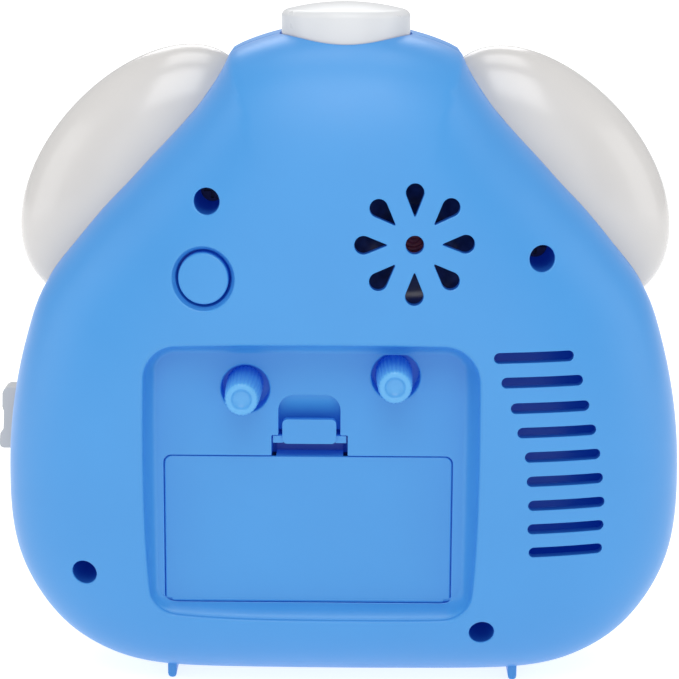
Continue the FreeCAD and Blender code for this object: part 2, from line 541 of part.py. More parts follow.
# ------------------------------------------------------------------ cells and contacts
cells, neg = [], []
for i, zc in enumerate(CELL_Z):
    d = 1 if i == 0 else -1
    body = cylx(CELL_Y, zc, CELL_R, CELL_X - 24.3, CELL_X + 24.3)
    nub = cylx(CELL_Y, zc, 2.7, CELL_X + 24.2, CELL_X + 25.5) if d > 0 else cylx(CELL_Y, zc, 2.7, CELL_X - 25.5, CELL_X - 24.2)
    cells.append(body.fuse(nub))
put("cells", Part.makeCompound(cells))
plates, springs = [], []
for i, zc in enumerate(CELL_Z):
    for side in (-1, 1):
        xe = -21.15 if side < 0 else 34.85
        plates.append(box(xe, xe + 0.4, 6.0, 18.2, zc - 5.2, zc + 5.2))
        positive = (i == 0 and side > 0) or (i == 1 and side < 0)
        if not positive:
            cell_end = CELL_X + side * 24.3
            gap = abs((xe + (0.4 if side < 0 else 0.0)) - cell_end)
            s = coil_spring(4.2, 2.9, 3.5, gap - 0.75, 0.31)
            s.translate(V(0, 0, 0.36))
            s.rotate(V(0, 0, 0), V(0, 1, 0), 90 if side < 0 else -90)
            s.translate(V(xe + (0.4 if side < 0 else 0.0), CELL_Y, zc))
            springs.append(s)
        else:
            plates.append(cylx(CELL_Y, zc, 2.2, xe + (0.3 if side < 0 else -2.6), xe + (3.0 if side < 0 else 0.1)).common(
                cylx(CELL_Y, zc, 2.2, CELL_X - 100 if side < 0 else CELL_X + 25.55, CELL_X - 25.55 if side < 0 else CELL_X + 100)))
merged = plates[0].multiFuse(plates[1:])
put("contact_plates", merged)
put("contact_springs", Part.makeCompound(springs))

# ------------------------------------------------------------------ knobs
def knob(ax, y_in):
    r0, r1 = 3.62, 3.30
    yb, yt = 17.0, FLOOR_Y + 9.6
    n = 30
    prof = rev_y([(0, yb), (r0, yb), (r1, yt - 0.35), (r1 - 0.35, yt), (1.95, yt), (1.6, yt - 0.55), (0, yt - 0.55)], ax[0], ax[1])
    flutes = []
    for k in range(n):
        a = 2 * math.pi * k / n
        flutes.append(cyl(ax[0] + 3.86 * math.cos(a), ax[1] + 3.86 * math.sin(a), 0.26, yb + 0.8, yt - 1.15))
    body = cut(prof, *flutes)
    sock = cyl(ax[0], ax[1], 1.0, yb - 0.5, yb + 4.0)
    return cut(body, sock)


put("time_knob", knob(KNOB_AX, 0))
put("alarm_knob", knob(KNOB_BX, 0))

# ------------------------------------------------------------------ movement
MF, MR = -22.8, -10.3                 # front and rear outer faces of the movement case
MX0, MX1, MZ0, MZ1 = -21.0, 32.2, 38.4, 93.2
STEP_C = (DIAL_C[0] + 9.6 * math.cos(math.radians(75)), DIAL_C[1] + 9.6 * math.sin(math.radians(75)))
ROT_C = (STEP_C[0] + 8.4 * math.cos(math.radians(95)), STEP_C[1] + 8.4 * math.sin(math.radians(95)))
MOT_C = (0.0, DIAL_C[1] - 12.0)
dx, dz = DIAL_C
# base plate with side walls, open to the rear
base = rprism(MX0, MX1, MZ0, MZ1, 2.0, MF, MR - 1.3)
base = cut(base, rprism(MX0 + 1.2, MX1 - 1.2, MZ0 + 1.2, MZ1 - 1.2, 1.0, MF + 1.3, MR),
           cyl(dx, dz, 2.80, MF - 1, MF + 3))
posts = [cyl(MOT_C[0], MOT_C[1], 0.75, MF + 1.0, -16.8), cyl(KNOB_AX[0], KNOB_AX[1], 2.2, MF + 1.0, -18.0).cut(
    cyl(KNOB_AX[0], KNOB_AX[1], 1.06, MF + 1.5, -17.0))]
lugs = [rprism(MX0 - 5.5, MX0 + 1, 62, 69, 1.5, MF, MF + 1.6), rprism(MX1 - 1, MX1 + 4.0, 56, 63, 1.5, MF, MF + 1.6)]
base = fuse(base, *(posts + lugs))
LUGS = ((MX0 - 3.0, 65.5), (MX1 + 2.0, 59.5))
base = cut(base, *[cyl(x, z, 0.95, MF - 1, MF + 3) for x, z in LUGS])
put("movement_base", base)
cover = rprism(MX0, MX1, MZ0, MZ1, 2.0, MR - 1.25, MR)
cover = fuse(cover, cyl(dx, dz, 1.8, -12.6, MR - 1.2), cyl(STEP_C[0], STEP_C[1], 1.6, -12.5, MR - 1.2),
             cyl(ROT_C[0], ROT_C[1], 1.6, -12.4, MR - 1.2), cyl(KNOB_AX[0], KNOB_AX[1], 3.2, MR - 0.1, MR + 1.6),
             cyl(KNOB_BX[0], KNOB_BX[1], 3.2, MR - 0.1, MR + 1.6))
cover = cut(cover, cyl(dx, dz, 0.65, -13, -11.0), cyl(STEP_C[0], STEP_C[1], 0.56, -13, -11.0),
            cyl(ROT_C[0], ROT_C[1], 0.56, -13, -11.0), cyl(KNOB_AX[0], KNOB_AX[1], 1.27, -14, -6),
            cyl(KNOB_BX[0], KNOB_BX[1], 1.27, -14, -6))
put("movement_cover", cover)
ms = []
for x, z in LUGS:
    ms.append(fuse(cyl(x, z, 1.8, MF + 1.65, MF + 2.8), cyl(x, z, 0.85, MF - 0.9, MF + 1.8)))
put("movement_screws", Part.makeCompound(ms))

# setting arbors: shaft from the knob to its gear
ta = face_angle(KNOB_AX, DIAL_C)
time_arbor = fuse(gear(KNOB_AX[0], KNOB_AX[1], 0.5, 41, -17.0, -16.0, ta),
                  cyl(KNOB_AX[0], KNOB_AX[1], 1.2, -17.6, 15.0), cyl(KNOB_AX[0], KNOB_AX[1], 0.95, 14.9, 20.9),
                  cyl(KNOB_AX[0], KNOB_AX[1], 1.0, -21.2, -17.5))
put("time_arbor", time_arbor)
aa = face_angle(KNOB_BX, DIAL_C)
alarm_arbor = fuse(gear(KNOB_BX[0], KNOB_BX[1], 0.5, 15, -21.2, -20.2, aa),
                   cyl(KNOB_BX[0], KNOB_BX[1], 1.2, -21.3, 15.0), cyl(KNOB_BX[0], KNOB_BX[1], 0.95, 14.9, 20.9))
put("alarm_arbor", alarm_arbor)
# wheels on the hands axis
al = gear(dx, dz, 0.5, 33, -21.2, -20.2, mesh_phase(KNOB_BX, DIAL_C, 33))
al = fuse(al, cyl(dx, dz, 2.7, -25.7, -20.2)).cut(cyl(dx, dz, 2.06, -30, -19))
put("alarm_wheel", al)
hour_phase = mesh_phase(MOT_C, DIAL_C, 40)
hw = gear(dx, dz, 0.48, 40, -19.8, -18.8, hour_phase)
hw = fuse(hw, cyl(dx, dz, 2.0, -27.1, -18.8)).cut(cyl(dx, dz, 1.26, -30, -18))
put("hour_wheel", hw)
mw = fuse(gear(dx, dz, 0.5, 40, -17.0, -16.0, mesh_phase(KNOB_AX, DIAL_C, 40)),
          gear(dx, dz, 0.5, 12, -18.45, -16.9, face_angle(DIAL_C, MOT_C)),
          cyl(dx, dz, 1.2, -28.5, -18.3)).cut(cyl(dx, dz, 0.66, -32, -15))
put("minute_wheel", mw)
mo = fuse(gear(MOT_C[0], MOT_C[1], 0.5, 36, -18.3, -17.3, mesh_phase(DIAL_C, MOT_C, 36)),
          gear(MOT_C[0], MOT_C[1], 0.48, 10, -19.9, -18.2, face_angle(MOT_C, DIAL_C))).cut(
    cyl(MOT_C[0], MOT_C[1], 0.81, -25, -15))
put("motion_wheel", mo)
sw = fuse(gear(dx, dz, 0.4, 40, -15.0, -14.2, mesh_phase(STEP_C, DIAL_C, 40)), cyl(dx, dz, 0.6, -29.9, -11.2))
put("second_wheel", sw)
st = fuse(gear(STEP_C[0], STEP_C[1], 0.4, 8, -15.1, -13.4, face_angle(STEP_C, DIAL_C)),
          gear(STEP_C[0], STEP_C[1], 0.4, 36, -13.5, -12.8, mesh_phase(ROT_C, STEP_C, 36)),
          cyl(STEP_C[0], STEP_C[1], 0.5, -15.6, -11.2))
put("step_wheel", st)
ro = fuse(gear(ROT_C[0], ROT_C[1], 0.4, 6, -13.7, -12.7, face_angle(ROT_C, STEP_C)),
          cyl(ROT_C[0], ROT_C[1], 2.8, -16.6, -13.9), cyl(ROT_C[0], ROT_C[1], 0.5, -17.2, -11.2),
          cyl(ROT_C[0], ROT_C[1], 0.8, -14.0, -13.6))
put("step_rotor", ro)
stator = cut(box(-9.0, 13.0, -15.8, -15.0, 73.6 + 1.0, 91.4), cyl(ROT_C[0], ROT_C[1], 3.5, -20, -10),
             box(-5.2, 9.2, -20, -10, 83.6, 92))
stator = fuse(stator, cylx(-15.4, 88.4, 1.0, -9.0, 13.0))
stator = cut(stator, cyl(STEP_C[0], STEP_C[1], 2.4, -20, -10))
put("stator", stator)
coil = cylx(-15.4, 88.4, 3.2, -4.6, 8.6).cut(cylx(-15.4, 88.4, 1.05, -10, 14))
put("coil", coil)
cb = fuse(box(-19.4, -10.5, -13.6, -12.6, 74.0, 91.0), cyl(-15.0, 78.5, 2.4, -14.6, -13.5), cylz(-12.6, -14.9, 1.4, 82.5, 90.0))
put("clock_board", cb)

# ------------------------------------------------------------------ dial, hands, bezel, lens
dial = cyl(dx, dz, 40.6, -24.0, -22.85)
dial = fuse(dial, *[cyl(x, z, 2.2, -24.0, -22.85) for x, z in LUGS])
dial = cut(dial, cyl(dx, dz, 3.0, -26, -20), *[cyl(x, z, 0.9, -23.75, -22) for x, z in LUGS])
put("dial_plate", dial)


def hand(y0, y1, L, w0, w1, tail, hub, bore, ang):
    pts = [(-w0 / 2, -tail), (w0 / 2, -tail), (w0 / 2 * 1.0, L * 0.62), (w1 / 2, L * 0.9), (0, L), (-w1 / 2, L * 0.9),
           (-w0 / 2 * 1.0, L * 0.62)]
    s = poly_y([(dx + px, dz + pz) for px, pz in pts], y0, y1)
    s = fuse(s, cyl(dx, dz, hub, y0, y1)).cut(cyl(dx, dz, bore, y0 - 1, y1 + 1))
    s.rotate(V(dx, 0, dz), V(0, 1, 0), ang)
    return s


# seen from the front a clockwise hand turns from +Z to +X, a positive turn about +Y
put("alarm_hand", hand(-25.7, -25.2, 15.0, 1.4, 0.9, 3.0, 3.6, 2.72, 0.0))
put("hour_hand", hand(-27.1, -26.6, 19.5, 3.0, 1.8, 4.0, 3.3, 2.02, 304.3))
put("minute_hand", hand(-28.5, -28.0, 28.0, 2.6, 1.4, 5.0, 2.8, 1.22, 51.5))
put("second_hand", hand(-29.9, -29.5, 30.0, 0.8, 0.5, 9.0, 2.0, 0.62, 210.0))
bez = rev_y([(37.0, -24.3), (36.0, -24.3), (35.6, -31.0), (34.6, -31.0), (34.9, -33.9), (35.9, -35.2), (37.6, -35.8),
             (39.6, -35.5), (41.0, -34.3), (41.5, -32.05), (37.0, -32.05)], dx, dz)
put("dial_bezel", bez)
lens = rev_y([(0, -32.6), (18, -32.3), (34.45, -31.4), (34.45, -30.95), (35.5, -30.95), (35.5, -29.9), (34.0, -29.9), (18, -30.8), (0, -31.1)], dx, dz)
put("dial_lens", lens)
# rehaut: white ring between dial and lens
reh = rev_y([(35.4, -24.05), (35.4, -29.8), (34.2, -29.8), (32.4, -24.05)], dx, dz)
put("dial_ring", reh)
# night light: translucent ring in the front face, lit from a ring board behind it
ring = rev_y([(41.95, -31.05), (44.6, -31.05), (44.6, -32.5), (44.0, -33.1), (42.6, -33.1), (41.95, -32.5)], dx, dz)
put("light_ring", ring)
lb = tube(dx, dz, 45.2, 41.9, -27.2, -26.2)
lb = lb.common(FRONT_IN)
put("light_board", sorted(lb.Solids, key=lambda s: -s.Volume)[0])
leds = []
for (x, z) in LEDS:
    leds.append(fuse(cyl(x, z, 1.5, -29.3, -27.25), Part.makeSphere(1.5, V(x, -29.3, z)).common(cyl(x, z, 1.6, -31.5, -29.2))))
put("leds", Part.makeCompound(leds))

# ------------------------------------------------------------------ speaker
gx, gz = GRILLE
sf = rev_y([(17.6, 18.1), (15.8, 18.1), (15.8, 16.4), (9.6, 11.7), (9.6, 10.5), (11.6, 10.5), (17.6, 15.6)], gx, gz)
put("speaker_frame", sf)
cone = rev_y([(15.7, 17.7), (14.4, 18.1), (13.3, 17.5), (6.0, 13.2), (4.2, 14.6), (0, 15.4), (0, 15.0), (4.0, 14.2), (5.9, 12.7),
              (13.4, 17.0), (14.4, 17.6), (15.6, 17.2)], gx, gz)
put("speaker_cone", cone)
put("speaker_magnet", fuse(cyl(gx, gz, 9.0, 4.2, 8.9), cyl(gx, gz, 9.5, 8.8, 10.45)))

# ------------------------------------------------------------------ case screws
cs = []
for (x, z) in SCREWS:
    hd = cyl(x, z, 2.35, 4.05, 6.0).cut(box(x - 1.7, x + 1.7, 5.1, 7, z - 0.3, z + 0.3)).cut(
        box(x - 0.3, x + 0.3, 5.1, 7, z - 1.7, z + 1.7))
    cs.append(fuse(hd, cyl(x, z, 1.1, -12.0, 4.1)))
put("case_screws", Part.makeCompound(cs))

# ------------------------------------------------------------------ eyes and nose over the dial
def on_front(x, z):
    """Y of the outer front surface at (x, z)"""
    ln = Part.makeLine(V(x, -60, z), V(x, -0.2, z))
    d = FRONT_OUT.common(ln)
    return d.BoundBox.YMin


for nm, ex, ez, a, b in (("eye_left", 12.5, 117.4, 3.5, 3.5), ("eye_right", -12.5, 117.4, 3.5, 3.5)):
    yy = on_front(ex, ez)
    m = FreeCAD.Matrix()
    m.scale(V(a, 2.6, b))
    e = Part.makeSphere(1.0)
    e.rotate(V(0, 0, 0), V(0, 1, 0), 35)
    e = e.transformGeometry(m)
    e.translate(V(ex, yy, ez))
    e = e.cut(BODY)
    e = sorted(e.Solids, key=lambda s: -s.Volume)[0]
    e.fix(1e-4, 1e-4, 1e-2)
    put(nm, e)
# the nose is the cap of a ball that stands out of the face
ball = Part.makeSphere(4.6, V(0, 0, 0), V(0, 1, 0))
ball.rotate(V(0, 0, 0), V(0, 0, 1), 20)
ball.translate(V(0.0, on_front(0.0, 111.6) + 2.0, 111.6))
ball = ball.cut(BODY)
put("nose", sorted(ball.Solids, key=lambda s: -s.Volume)[0])

# ------------------------------------------------------------------ place and write
boxes = None
for n, s in PARTS.items():
    b = s.optimalBoundingBox(True, False)
    if boxes is None:
        boxes = [b.XMin, b.XMax, b.YMin, b.YMax, b.ZMin, b.ZMax]
    else:
        boxes = [min(boxes[0], b.XMin), max(boxes[1], b.XMax), min(boxes[2], b.YMin), max(boxes[3], b.YMax),
                 min(boxes[4], b.ZMin), max(boxes[5], b.ZMax)]
OFFSET = V(-(boxes[0] + boxes[1]) / 2, -(boxes[2] + boxes[3]) / 2, -boxes[4])
print("box", [round(v, 3) for v in boxes], "offset", OFFSET)
for n, s in PARTS.items():
    s = s.copy()
    s.translate(OFFSET)
    if len(s.Solids) == 1:
        s = s.Solids[0]
    ok = s.isValid()
    print("%-18s solids %d valid %s vol %.1f faces %d" % (n, len(s.Solids), ok, s.Volume, len(s.Faces)))
    s.exportStep("parts/%s.step" % n)
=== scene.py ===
import bpy, bmesh, math, json, random
from mathutils import Vector, Matrix, noise
from mathutils.geometry import delaunay_2d_cdt


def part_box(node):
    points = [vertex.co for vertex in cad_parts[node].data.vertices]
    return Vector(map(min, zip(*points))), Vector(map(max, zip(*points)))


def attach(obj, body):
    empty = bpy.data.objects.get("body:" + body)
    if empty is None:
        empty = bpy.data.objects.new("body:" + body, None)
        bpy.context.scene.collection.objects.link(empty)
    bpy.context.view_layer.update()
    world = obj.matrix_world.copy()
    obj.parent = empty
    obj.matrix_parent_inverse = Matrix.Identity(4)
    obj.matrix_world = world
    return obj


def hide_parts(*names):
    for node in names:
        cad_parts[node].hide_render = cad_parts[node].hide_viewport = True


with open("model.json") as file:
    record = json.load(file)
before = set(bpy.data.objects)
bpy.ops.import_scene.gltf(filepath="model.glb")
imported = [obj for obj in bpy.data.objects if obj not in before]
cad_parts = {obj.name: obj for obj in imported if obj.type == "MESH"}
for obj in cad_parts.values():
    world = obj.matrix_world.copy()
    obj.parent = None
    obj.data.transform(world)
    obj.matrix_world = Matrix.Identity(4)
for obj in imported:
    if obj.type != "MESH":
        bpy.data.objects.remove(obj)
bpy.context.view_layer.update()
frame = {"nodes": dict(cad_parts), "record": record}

MM = 0.001
_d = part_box("dial_plate")
# working frame (shells meet at Y = 0, dial axis at X = 0) to row frame, mm
OFF = ((_d[0][0] + _d[1][0]) * 500, (_d[0][1] + _d[1][1]) * 500 + 23.425, 0.0)

# ------------------------------------------------------------------ materials


def mat(name, base, rough=0.4, spec=0.5, vary=0.04, scale=60.0, bump=0.0, bump_scale=900.0, metal=0.0, coat=0.0,
        coat_rough=0.1, alpha=1.0, emit=None, emit_k=0.0, trans=0.0, ior=1.45, sss=0.0, rough_vary=0.06, stretch=None):
    m = bpy.data.materials.new(name)
    m.use_nodes = True
    nt = m.node_tree
    n = nt.nodes
    b = n["Principled BSDF"]
    tc = n.new("ShaderNodeTexCoord")
    src = tc.outputs["Object"]
    if stretch:
        mp = n.new("ShaderNodeMapping")
        mp.inputs["Scale"].default_value = stretch
        nt.links.new(src, mp.inputs["Vector"])
        src = mp.outputs["Vector"]
    ns = n.new("ShaderNodeTexNoise")
    ns.inputs["Scale"].default_value = scale
    ns.inputs["Detail"].default_value = 4.0
    nt.links.new(src, ns.inputs["Vector"])
    rp = n.new("ShaderNodeValToRGB")
    rp.color_ramp.elements[0].position = 0.3
    rp.color_ramp.elements[1].position = 0.7
    lo = [max(0.0, c * (1 - vary)) for c in base]
    hi = [min(1.0, c * (1 + vary)) for c in base]
    rp.color_ramp.elements[0].color = lo + [1]
    rp.color_ramp.elements[1].color = hi + [1]
    nt.links.new(ns.outputs["Fac"], rp.inputs["Fac"])
    nt.links.new(rp.outputs["Color"], b.inputs["Base Color"])
    mr = n.new("ShaderNodeMapRange")
    mr.inputs["To Min"].default_value = max(0.02, rough - rough_vary)
    mr.inputs["To Max"].default_value = min(1.0, rough + rough_vary)
    n2 = n.new("ShaderNodeTexNoise")
    n2.inputs["Scale"].default_value = scale * 3.1
    n2.inputs["Detail"].default_value = 3.0
    nt.links.new(src, n2.inputs["Vector"])
    nt.links.new(n2.outputs["Fac"], mr.inputs["Value"])
    nt.links.new(mr.outputs["Result"], b.inputs["Roughness"])
    if bump > 0:
        n3 = n.new("ShaderNodeTexNoise")
        n3.inputs["Scale"].default_value = bump_scale
        n3.inputs["Detail"].default_value = 2.0
        nt.links.new(src, n3.inputs["Vector"])
        bp = n.new("ShaderNodeBump")
        bp.inputs["Strength"].default_value = bump
        bp.inputs["Distance"].default_value = 0.0001
        nt.links.new(n3.outputs["Fac"], bp.inputs["Height"])
        nt.links.new(bp.outputs["Normal"], b.inputs["Normal"])
    b.inputs["Specular IOR Level"].default_value = spec
    b.inputs["Metallic"].default_value = metal
    b.inputs["IOR"].default_value = ior
    if coat:
        b.inputs["Coat Weight"].default_value = coat
        b.inputs["Coat Roughness"].default_value = coat_rough
    if sss:
        b.inputs["Subsurface Weight"].default_value = sss
        b.inputs["Subsurface Radius"].default_value = (0.002, 0.002, 0.002)
    if alpha < 1:
        b.inputs["Alpha"].default_value = alpha
    if trans:
        b.inputs["Transmission Weight"].default_value = trans
    if emit:
        b.inputs["Emission Color"].default_value = list(emit) + [1]
        b.inputs["Emission Strength"].default_value = emit_k
    return m


M = {}
# painted glow: the blue plastics emit a deep blue so that their shade and recesses stay deep blue, standing in for
# light scattered inside the translucent plastic
M["shell_blue"] = mat("shell_blue", (0.045, 0.226, 0.408), rough=0.36, vary=0.02, scale=45, bump=0.05, bump_scale=1500, emit=(0.0, 0.016, 0.20), emit_k=1.0)
# painted glow on the knobs too, keeping their shaded flanks and bores deep blue
M["knob_blue"] = mat("knob_blue", (0.085, 0.30, 0.45), rough=0.34, vary=0.03, scale=120, bump=0.04, bump_scale=1500, emit=(0.0, 0.020, 0.22), emit_k=1.0)
M["ear_white"] = mat("ear_white", (0.50, 0.487, 0.477), rough=0.24, vary=0.015, scale=60, bump=0.02, bump_scale=1200, coat=0.6, coat_rough=0.20)
M["button_white"] = mat("button_white", (0.55, 0.56, 0.575), rough=0.3, vary=0.015, scale=80, bump=0.03, bump_scale=1500)
M["bezel_white"] = mat("bezel_white", (0.80, 0.80, 0.80), rough=0.22, vary=0.015, scale=60, bump=0.02)
M["clear_lens"] = mat("clear_lens", (0.95, 0.97, 0.98), rough=0.04, vary=0.0, alpha=0.10, rough_vary=0.02)
M["light_diffuser"] = mat("light_diffuser", (0.90, 0.87, 0.74), rough=0.4, vary=0.03, scale=90, sss=0.3, emit=(1.0, 0.93, 0.75), emit_k=0.12)
M["dial_paper"] = mat("dial_paper", (0.88, 0.88, 0.86), rough=0.65, vary=0.02, scale=300, bump=0.05)
M["face_black"] = mat("face_black", (0.012, 0.012, 0.013), rough=0.12, vary=0.1, scale=80, coat=0.4)
M["hand_dark"] = mat("hand_dark", (0.016, 0.016, 0.02), rough=0.35, vary=0.1, scale=200)
M["hand_red"] = mat("hand_red", (0.55, 0.02, 0.015), rough=0.35, vary=0.06, scale=200)
M["hand_alarm"] = mat("hand_alarm", (0.80, 0.40, 0.03), rough=0.35, vary=0.06, scale=200)
# painted shade: the screws take the navy of the shade in their bores rather than a steel grey
M["screw_steel"] = mat("screw_steel", (0.006, 0.016, 0.10), rough=0.42, metal=0.35, vary=0.1, scale=900)
M["spring_steel"] = mat("spring_steel", (0.62, 0.62, 0.63), rough=0.25, metal=1.0, vary=0.08, scale=600)
M["board_green"] = mat("board_green", (0.015, 0.11, 0.04), rough=0.4, vary=0.25, scale=500)
M["component_black"] = mat("component_black", (0.02, 0.02, 0.022), rough=0.45, vary=0.2, scale=400)
M["cell_wrap"] = mat("cell_wrap", (0.05, 0.055, 0.065), rough=0.28, vary=0.1, scale=200, metal=0.3)
M["inner_white"] = mat("inner_white", (0.72, 0.72, 0.69), rough=0.42, vary=0.02, scale=150)
M["arbor_brass"] = mat("arbor_brass", (0.68, 0.48, 0.18), rough=0.28, metal=1.0, vary=0.06, scale=400)
M["coil_copper"] = mat("coil_copper", (0.55, 0.20, 0.07), rough=0.35, metal=0.9, vary=0.25, scale=900, stretch=(9, 1, 1))
M["led_clear"] = mat("led_clear", (0.90, 0.90, 0.82), rough=0.12, vary=0.02, scale=100, emit=(1, 0.95, 0.8), emit_k=0.2)
M["cone_paper"] = mat("cone_paper", (0.018, 0.034, 0.07), rough=0.34, vary=0.55, scale=520, bump=0.3, coat=0.5)
M["cap_brown"] = mat("cap_brown", (0.20, 0.035, 0.03), rough=0.45, vary=0.3, scale=900, bump=0.2)
M["slider_white"] = mat("slider_white", (0.44, 0.445, 0.45), rough=0.32, vary=0.015, scale=80, bump=0.03, bump_scale=1500)
# painted shade: a darker blue with a weak blue glow, laid on the walls of bores, vents, grille, button groove and latch
# notch and on the slot baffle
M["shell_painted_shade"] = mat("shell_painted_shade", (0.012, 0.09, 0.26), rough=0.4, vary=0.04, scale=60, bump=0.04, emit=(0.0, 0.006, 0.10), emit_k=1.0)
M["magnet_steel"] = mat("magnet_steel", (0.10, 0.10, 0.11), rough=0.4, metal=0.6, vary=0.2, scale=300)

slot_of = {s["node"]: s["material_slot"] for s in frame["record"]["subparts"]}
for nm, ob in frame["nodes"].items():
    ob.data.materials.clear()
    ob.data.materials.append(M["slider_white" if nm == "mode_slider" else slot_of[nm]])


def latch_material():
    """shell blue in front; painted shade (a deep blue with a weaker glow) on the arm that lies back in the notch"""
    m = M["shell_blue"].copy()
    m.name = "latch_painted_shade"
    nt = m.node_tree
    n = nt.nodes
    b = n["Principled BSDF"]
    ob = frame["nodes"]["battery_latch"]
    lo = min(v.co.y for v in ob.data.vertices)
    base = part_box("battery_latch")[0][1]
    tc = n.new("ShaderNodeTexCoord")
    sp = n.new("ShaderNodeSeparateXYZ")
    nt.links.new(tc.outputs["Object"], sp.inputs["Vector"])
    # painted shade: full shell blue above Y 19.6 mm, blending to deep blue with a weaker glow below Y 17.9 mm
    mr = n.new("ShaderNodeMapRange")
    mr.inputs["From Min"].default_value = lo + ((17.9 + OFF[1]) * MM - base)
    mr.inputs["From Max"].default_value = lo + ((19.6 + OFF[1]) * MM - base)
    nt.links.new(sp.outputs["Y"], mr.inputs["Value"])
    old = b.inputs["Base Color"].links[0].from_socket
    mx = n.new("ShaderNodeMix")
    mx.data_type = "RGBA"
    nt.links.new(mr.outputs["Result"], mx.inputs[0])
    mx.inputs[6].default_value = (0.004, 0.045, 0.20, 1)
    nt.links.new(old, mx.inputs[7])
    nt.links.new(mx.outputs[2], b.inputs["Base Color"])
    em = n.new("ShaderNodeMix")
    em.data_type = "RGBA"
    nt.links.new(mr.outputs["Result"], em.inputs[0])
    em.inputs[6].default_value = (0.0, 0.006, 0.11, 1)
    em.inputs[7].default_value = (0.0, 0.016, 0.20, 1)
    nt.links.new(em.outputs[2], b.inputs["Emission Color"])
    ob.data.materials[0] = m


latch_material()

# ------------------------------------------------------------------ mesh helpers
import numpy as np

HALF = [(0, 136.0), (7, 135.6), (12.9, 134.6), (17.5, 133.3), (21.6, 131.7), (23.4, 130.5), (24.1, 129.0),
        (25.2, 126.7), (26.7, 124.2), (28.4, 121.8), (30.3, 119.3), (32.5, 116.9), (34.8, 114.4), (39.5, 109.5),
        (44.1, 104.5), (48.9, 99.55), (53.2, 94.55), (57.3, 89.5), (60.8, 84.7), (62.4, 81.9), (63.6, 79.15),
        (65.2, 74.2), (66.6, 69.1), (67.75, 63.95), (68.65, 58.85), (69.3, 53.7), (69.7, 48.55), (69.85, 43.4),
        (69.65, 35.6), (68.4, 27.8), (65.3, 20.1), (62.0, 15.0), (57.8, 10.5), (52.4, 6.75), (46.6, 4.2),
        (39.8, 2.65), (30, 1.95), (15, 1.75), (0, 1.7)]
REAR_CZ, FRONT_CZ, REAR_H = 57.0, 61.4, 30.0
TAU = 2 * math.pi


def periodic_spline(pts):
    P = np.array(pts, float)
    n = len(P)
    h = np.hypot(*(np.roll(P, -1, 0) - P).T)
    t = np.concatenate([[0], np.cumsum(h)])
    A = np.zeros((n, n))
    B = np.zeros((n, 2))
    for i in range(n):
        A[i, i - 1] += h[i - 1] / 6
        A[i, i] += (h[i - 1] + h[i]) / 3
        A[i, (i + 1) % n] += h[i] / 6
        B[i] = (P[(i + 1) % n] - P[i]) / h[i] - (P[i] - P[i - 1]) / h[i - 1]
    D2 = np.linalg.solve(A, B)

    def ev(u):
        u = np.mod(np.asarray(u, float), t[-1])
        k = np.clip(np.searchsorted(t, u, side="right") - 1, 0, n - 1)
        k1 = (k + 1) % n
        hi = h[k]
        a = ((t[k + 1] - u) / hi)[:, None]
        b = ((u - t[k]) / hi)[:, None]
        return a * P[k] + b * P[k1] + ((a ** 3 - a) * D2[k] + (b ** 3 - b) * D2[k1]) * (hi ** 2)[:, None] / 6
    return ev, t[-1]


_ring = HALF + [(-x, z) for x, z in HALF[-2:0:-1]]
OUTLINE, OUT_LEN = periodic_spline(_ring)
_dense = OUTLINE(np.linspace(0, OUT_LEN, 8001)[:-1])
_cum = np.concatenate([[0], np.cumsum(np.hypot(*(np.roll(_dense, -1, 0) - _dense).T))])
_even = np.array([_dense[min(7999, int(np.searchsorted(_cum, _cum[-1] * i / 90.0)))] for i in range(90)])


def inset_pts(P, t):
    """points moved inward by t (the ring runs clockwise)"""
    d = np.roll(P, -1, 0) - np.roll(P, 1, 0)
    d /= np.hypot(*d.T)[:, None]
    return np.stack([P[:, 0] + t * d[:, 1], P[:, 1] - t * d[:, 0]], 1)


class Polar:
    """radius of the outline about (0, cz), sharp and relaxed, as functions of the angle"""

    def __init__(self, cz, sharp=_dense, even=_even, n=24):
        self.cz = cz
        self.tabs = []
        sm = even.copy()
        for _ in range(n):
            sm = 0.25 * np.roll(sm, 1, 0) + 0.5 * sm + 0.25 * np.roll(sm, -1, 0)
        k = np.mean(np.hypot(even[:, 0], even[:, 1] - cz)) / np.mean(np.hypot(sm[:, 0], sm[:, 1] - cz))
        sm = np.stack([sm[:, 0] * k, cz + (sm[:, 1] - cz) * k], 1)
        ev, L = periodic_spline(sm)
        for P in (sharp, ev(np.linspace(0, L, 4001)[:-1])):
            a = np.arctan2(P[:, 1] - cz, P[:, 0])
            r = np.hypot(P[:, 0], P[:, 1] - cz)
            o = np.argsort(a)
            a, r = a[o], r[o]
            self.tabs.append((np.concatenate([a - TAU, a, a + TAU]), np.concatenate([r, r, r])))

    def radii(self, phi):
        phi = np.mod(np.asarray(phi, float) + math.pi, TAU) - math.pi
        return np.interp(phi, *self.tabs[0]), np.interp(phi, *self.tabs[1])


def ease(s, lo=0.70, hi=0.995):
    t = np.clip((hi - s) / (hi - lo), 0, 1)
    return t * t * (3 - 2 * t)


REARP = Polar(REAR_CZ)


def s_of_y(y):
    return np.clip(1 - (np.asarray(y, float) / REAR_H) ** 3, 0, 1) ** 0.4


def y_of_s(s):
    return REAR_H * np.clip(1 - np.asarray(s, float) ** 2.5, 0, 1) ** (1 / 3.0)


def dome(x, z):
    """height Y of the rear face over (x, z)"""
    x = np.asarray(x, float)
    z = np.asarray(z, float) - REAR_CZ
    r = np.hypot(x, z)
    rb, rs = REARP.radii(np.arctan2(z, x))
    s = r / rb
    for _ in range(12):
        w = ease(s)
        s = r / (rb * (1 - w) + rs * w)
    return y_of_s(s)


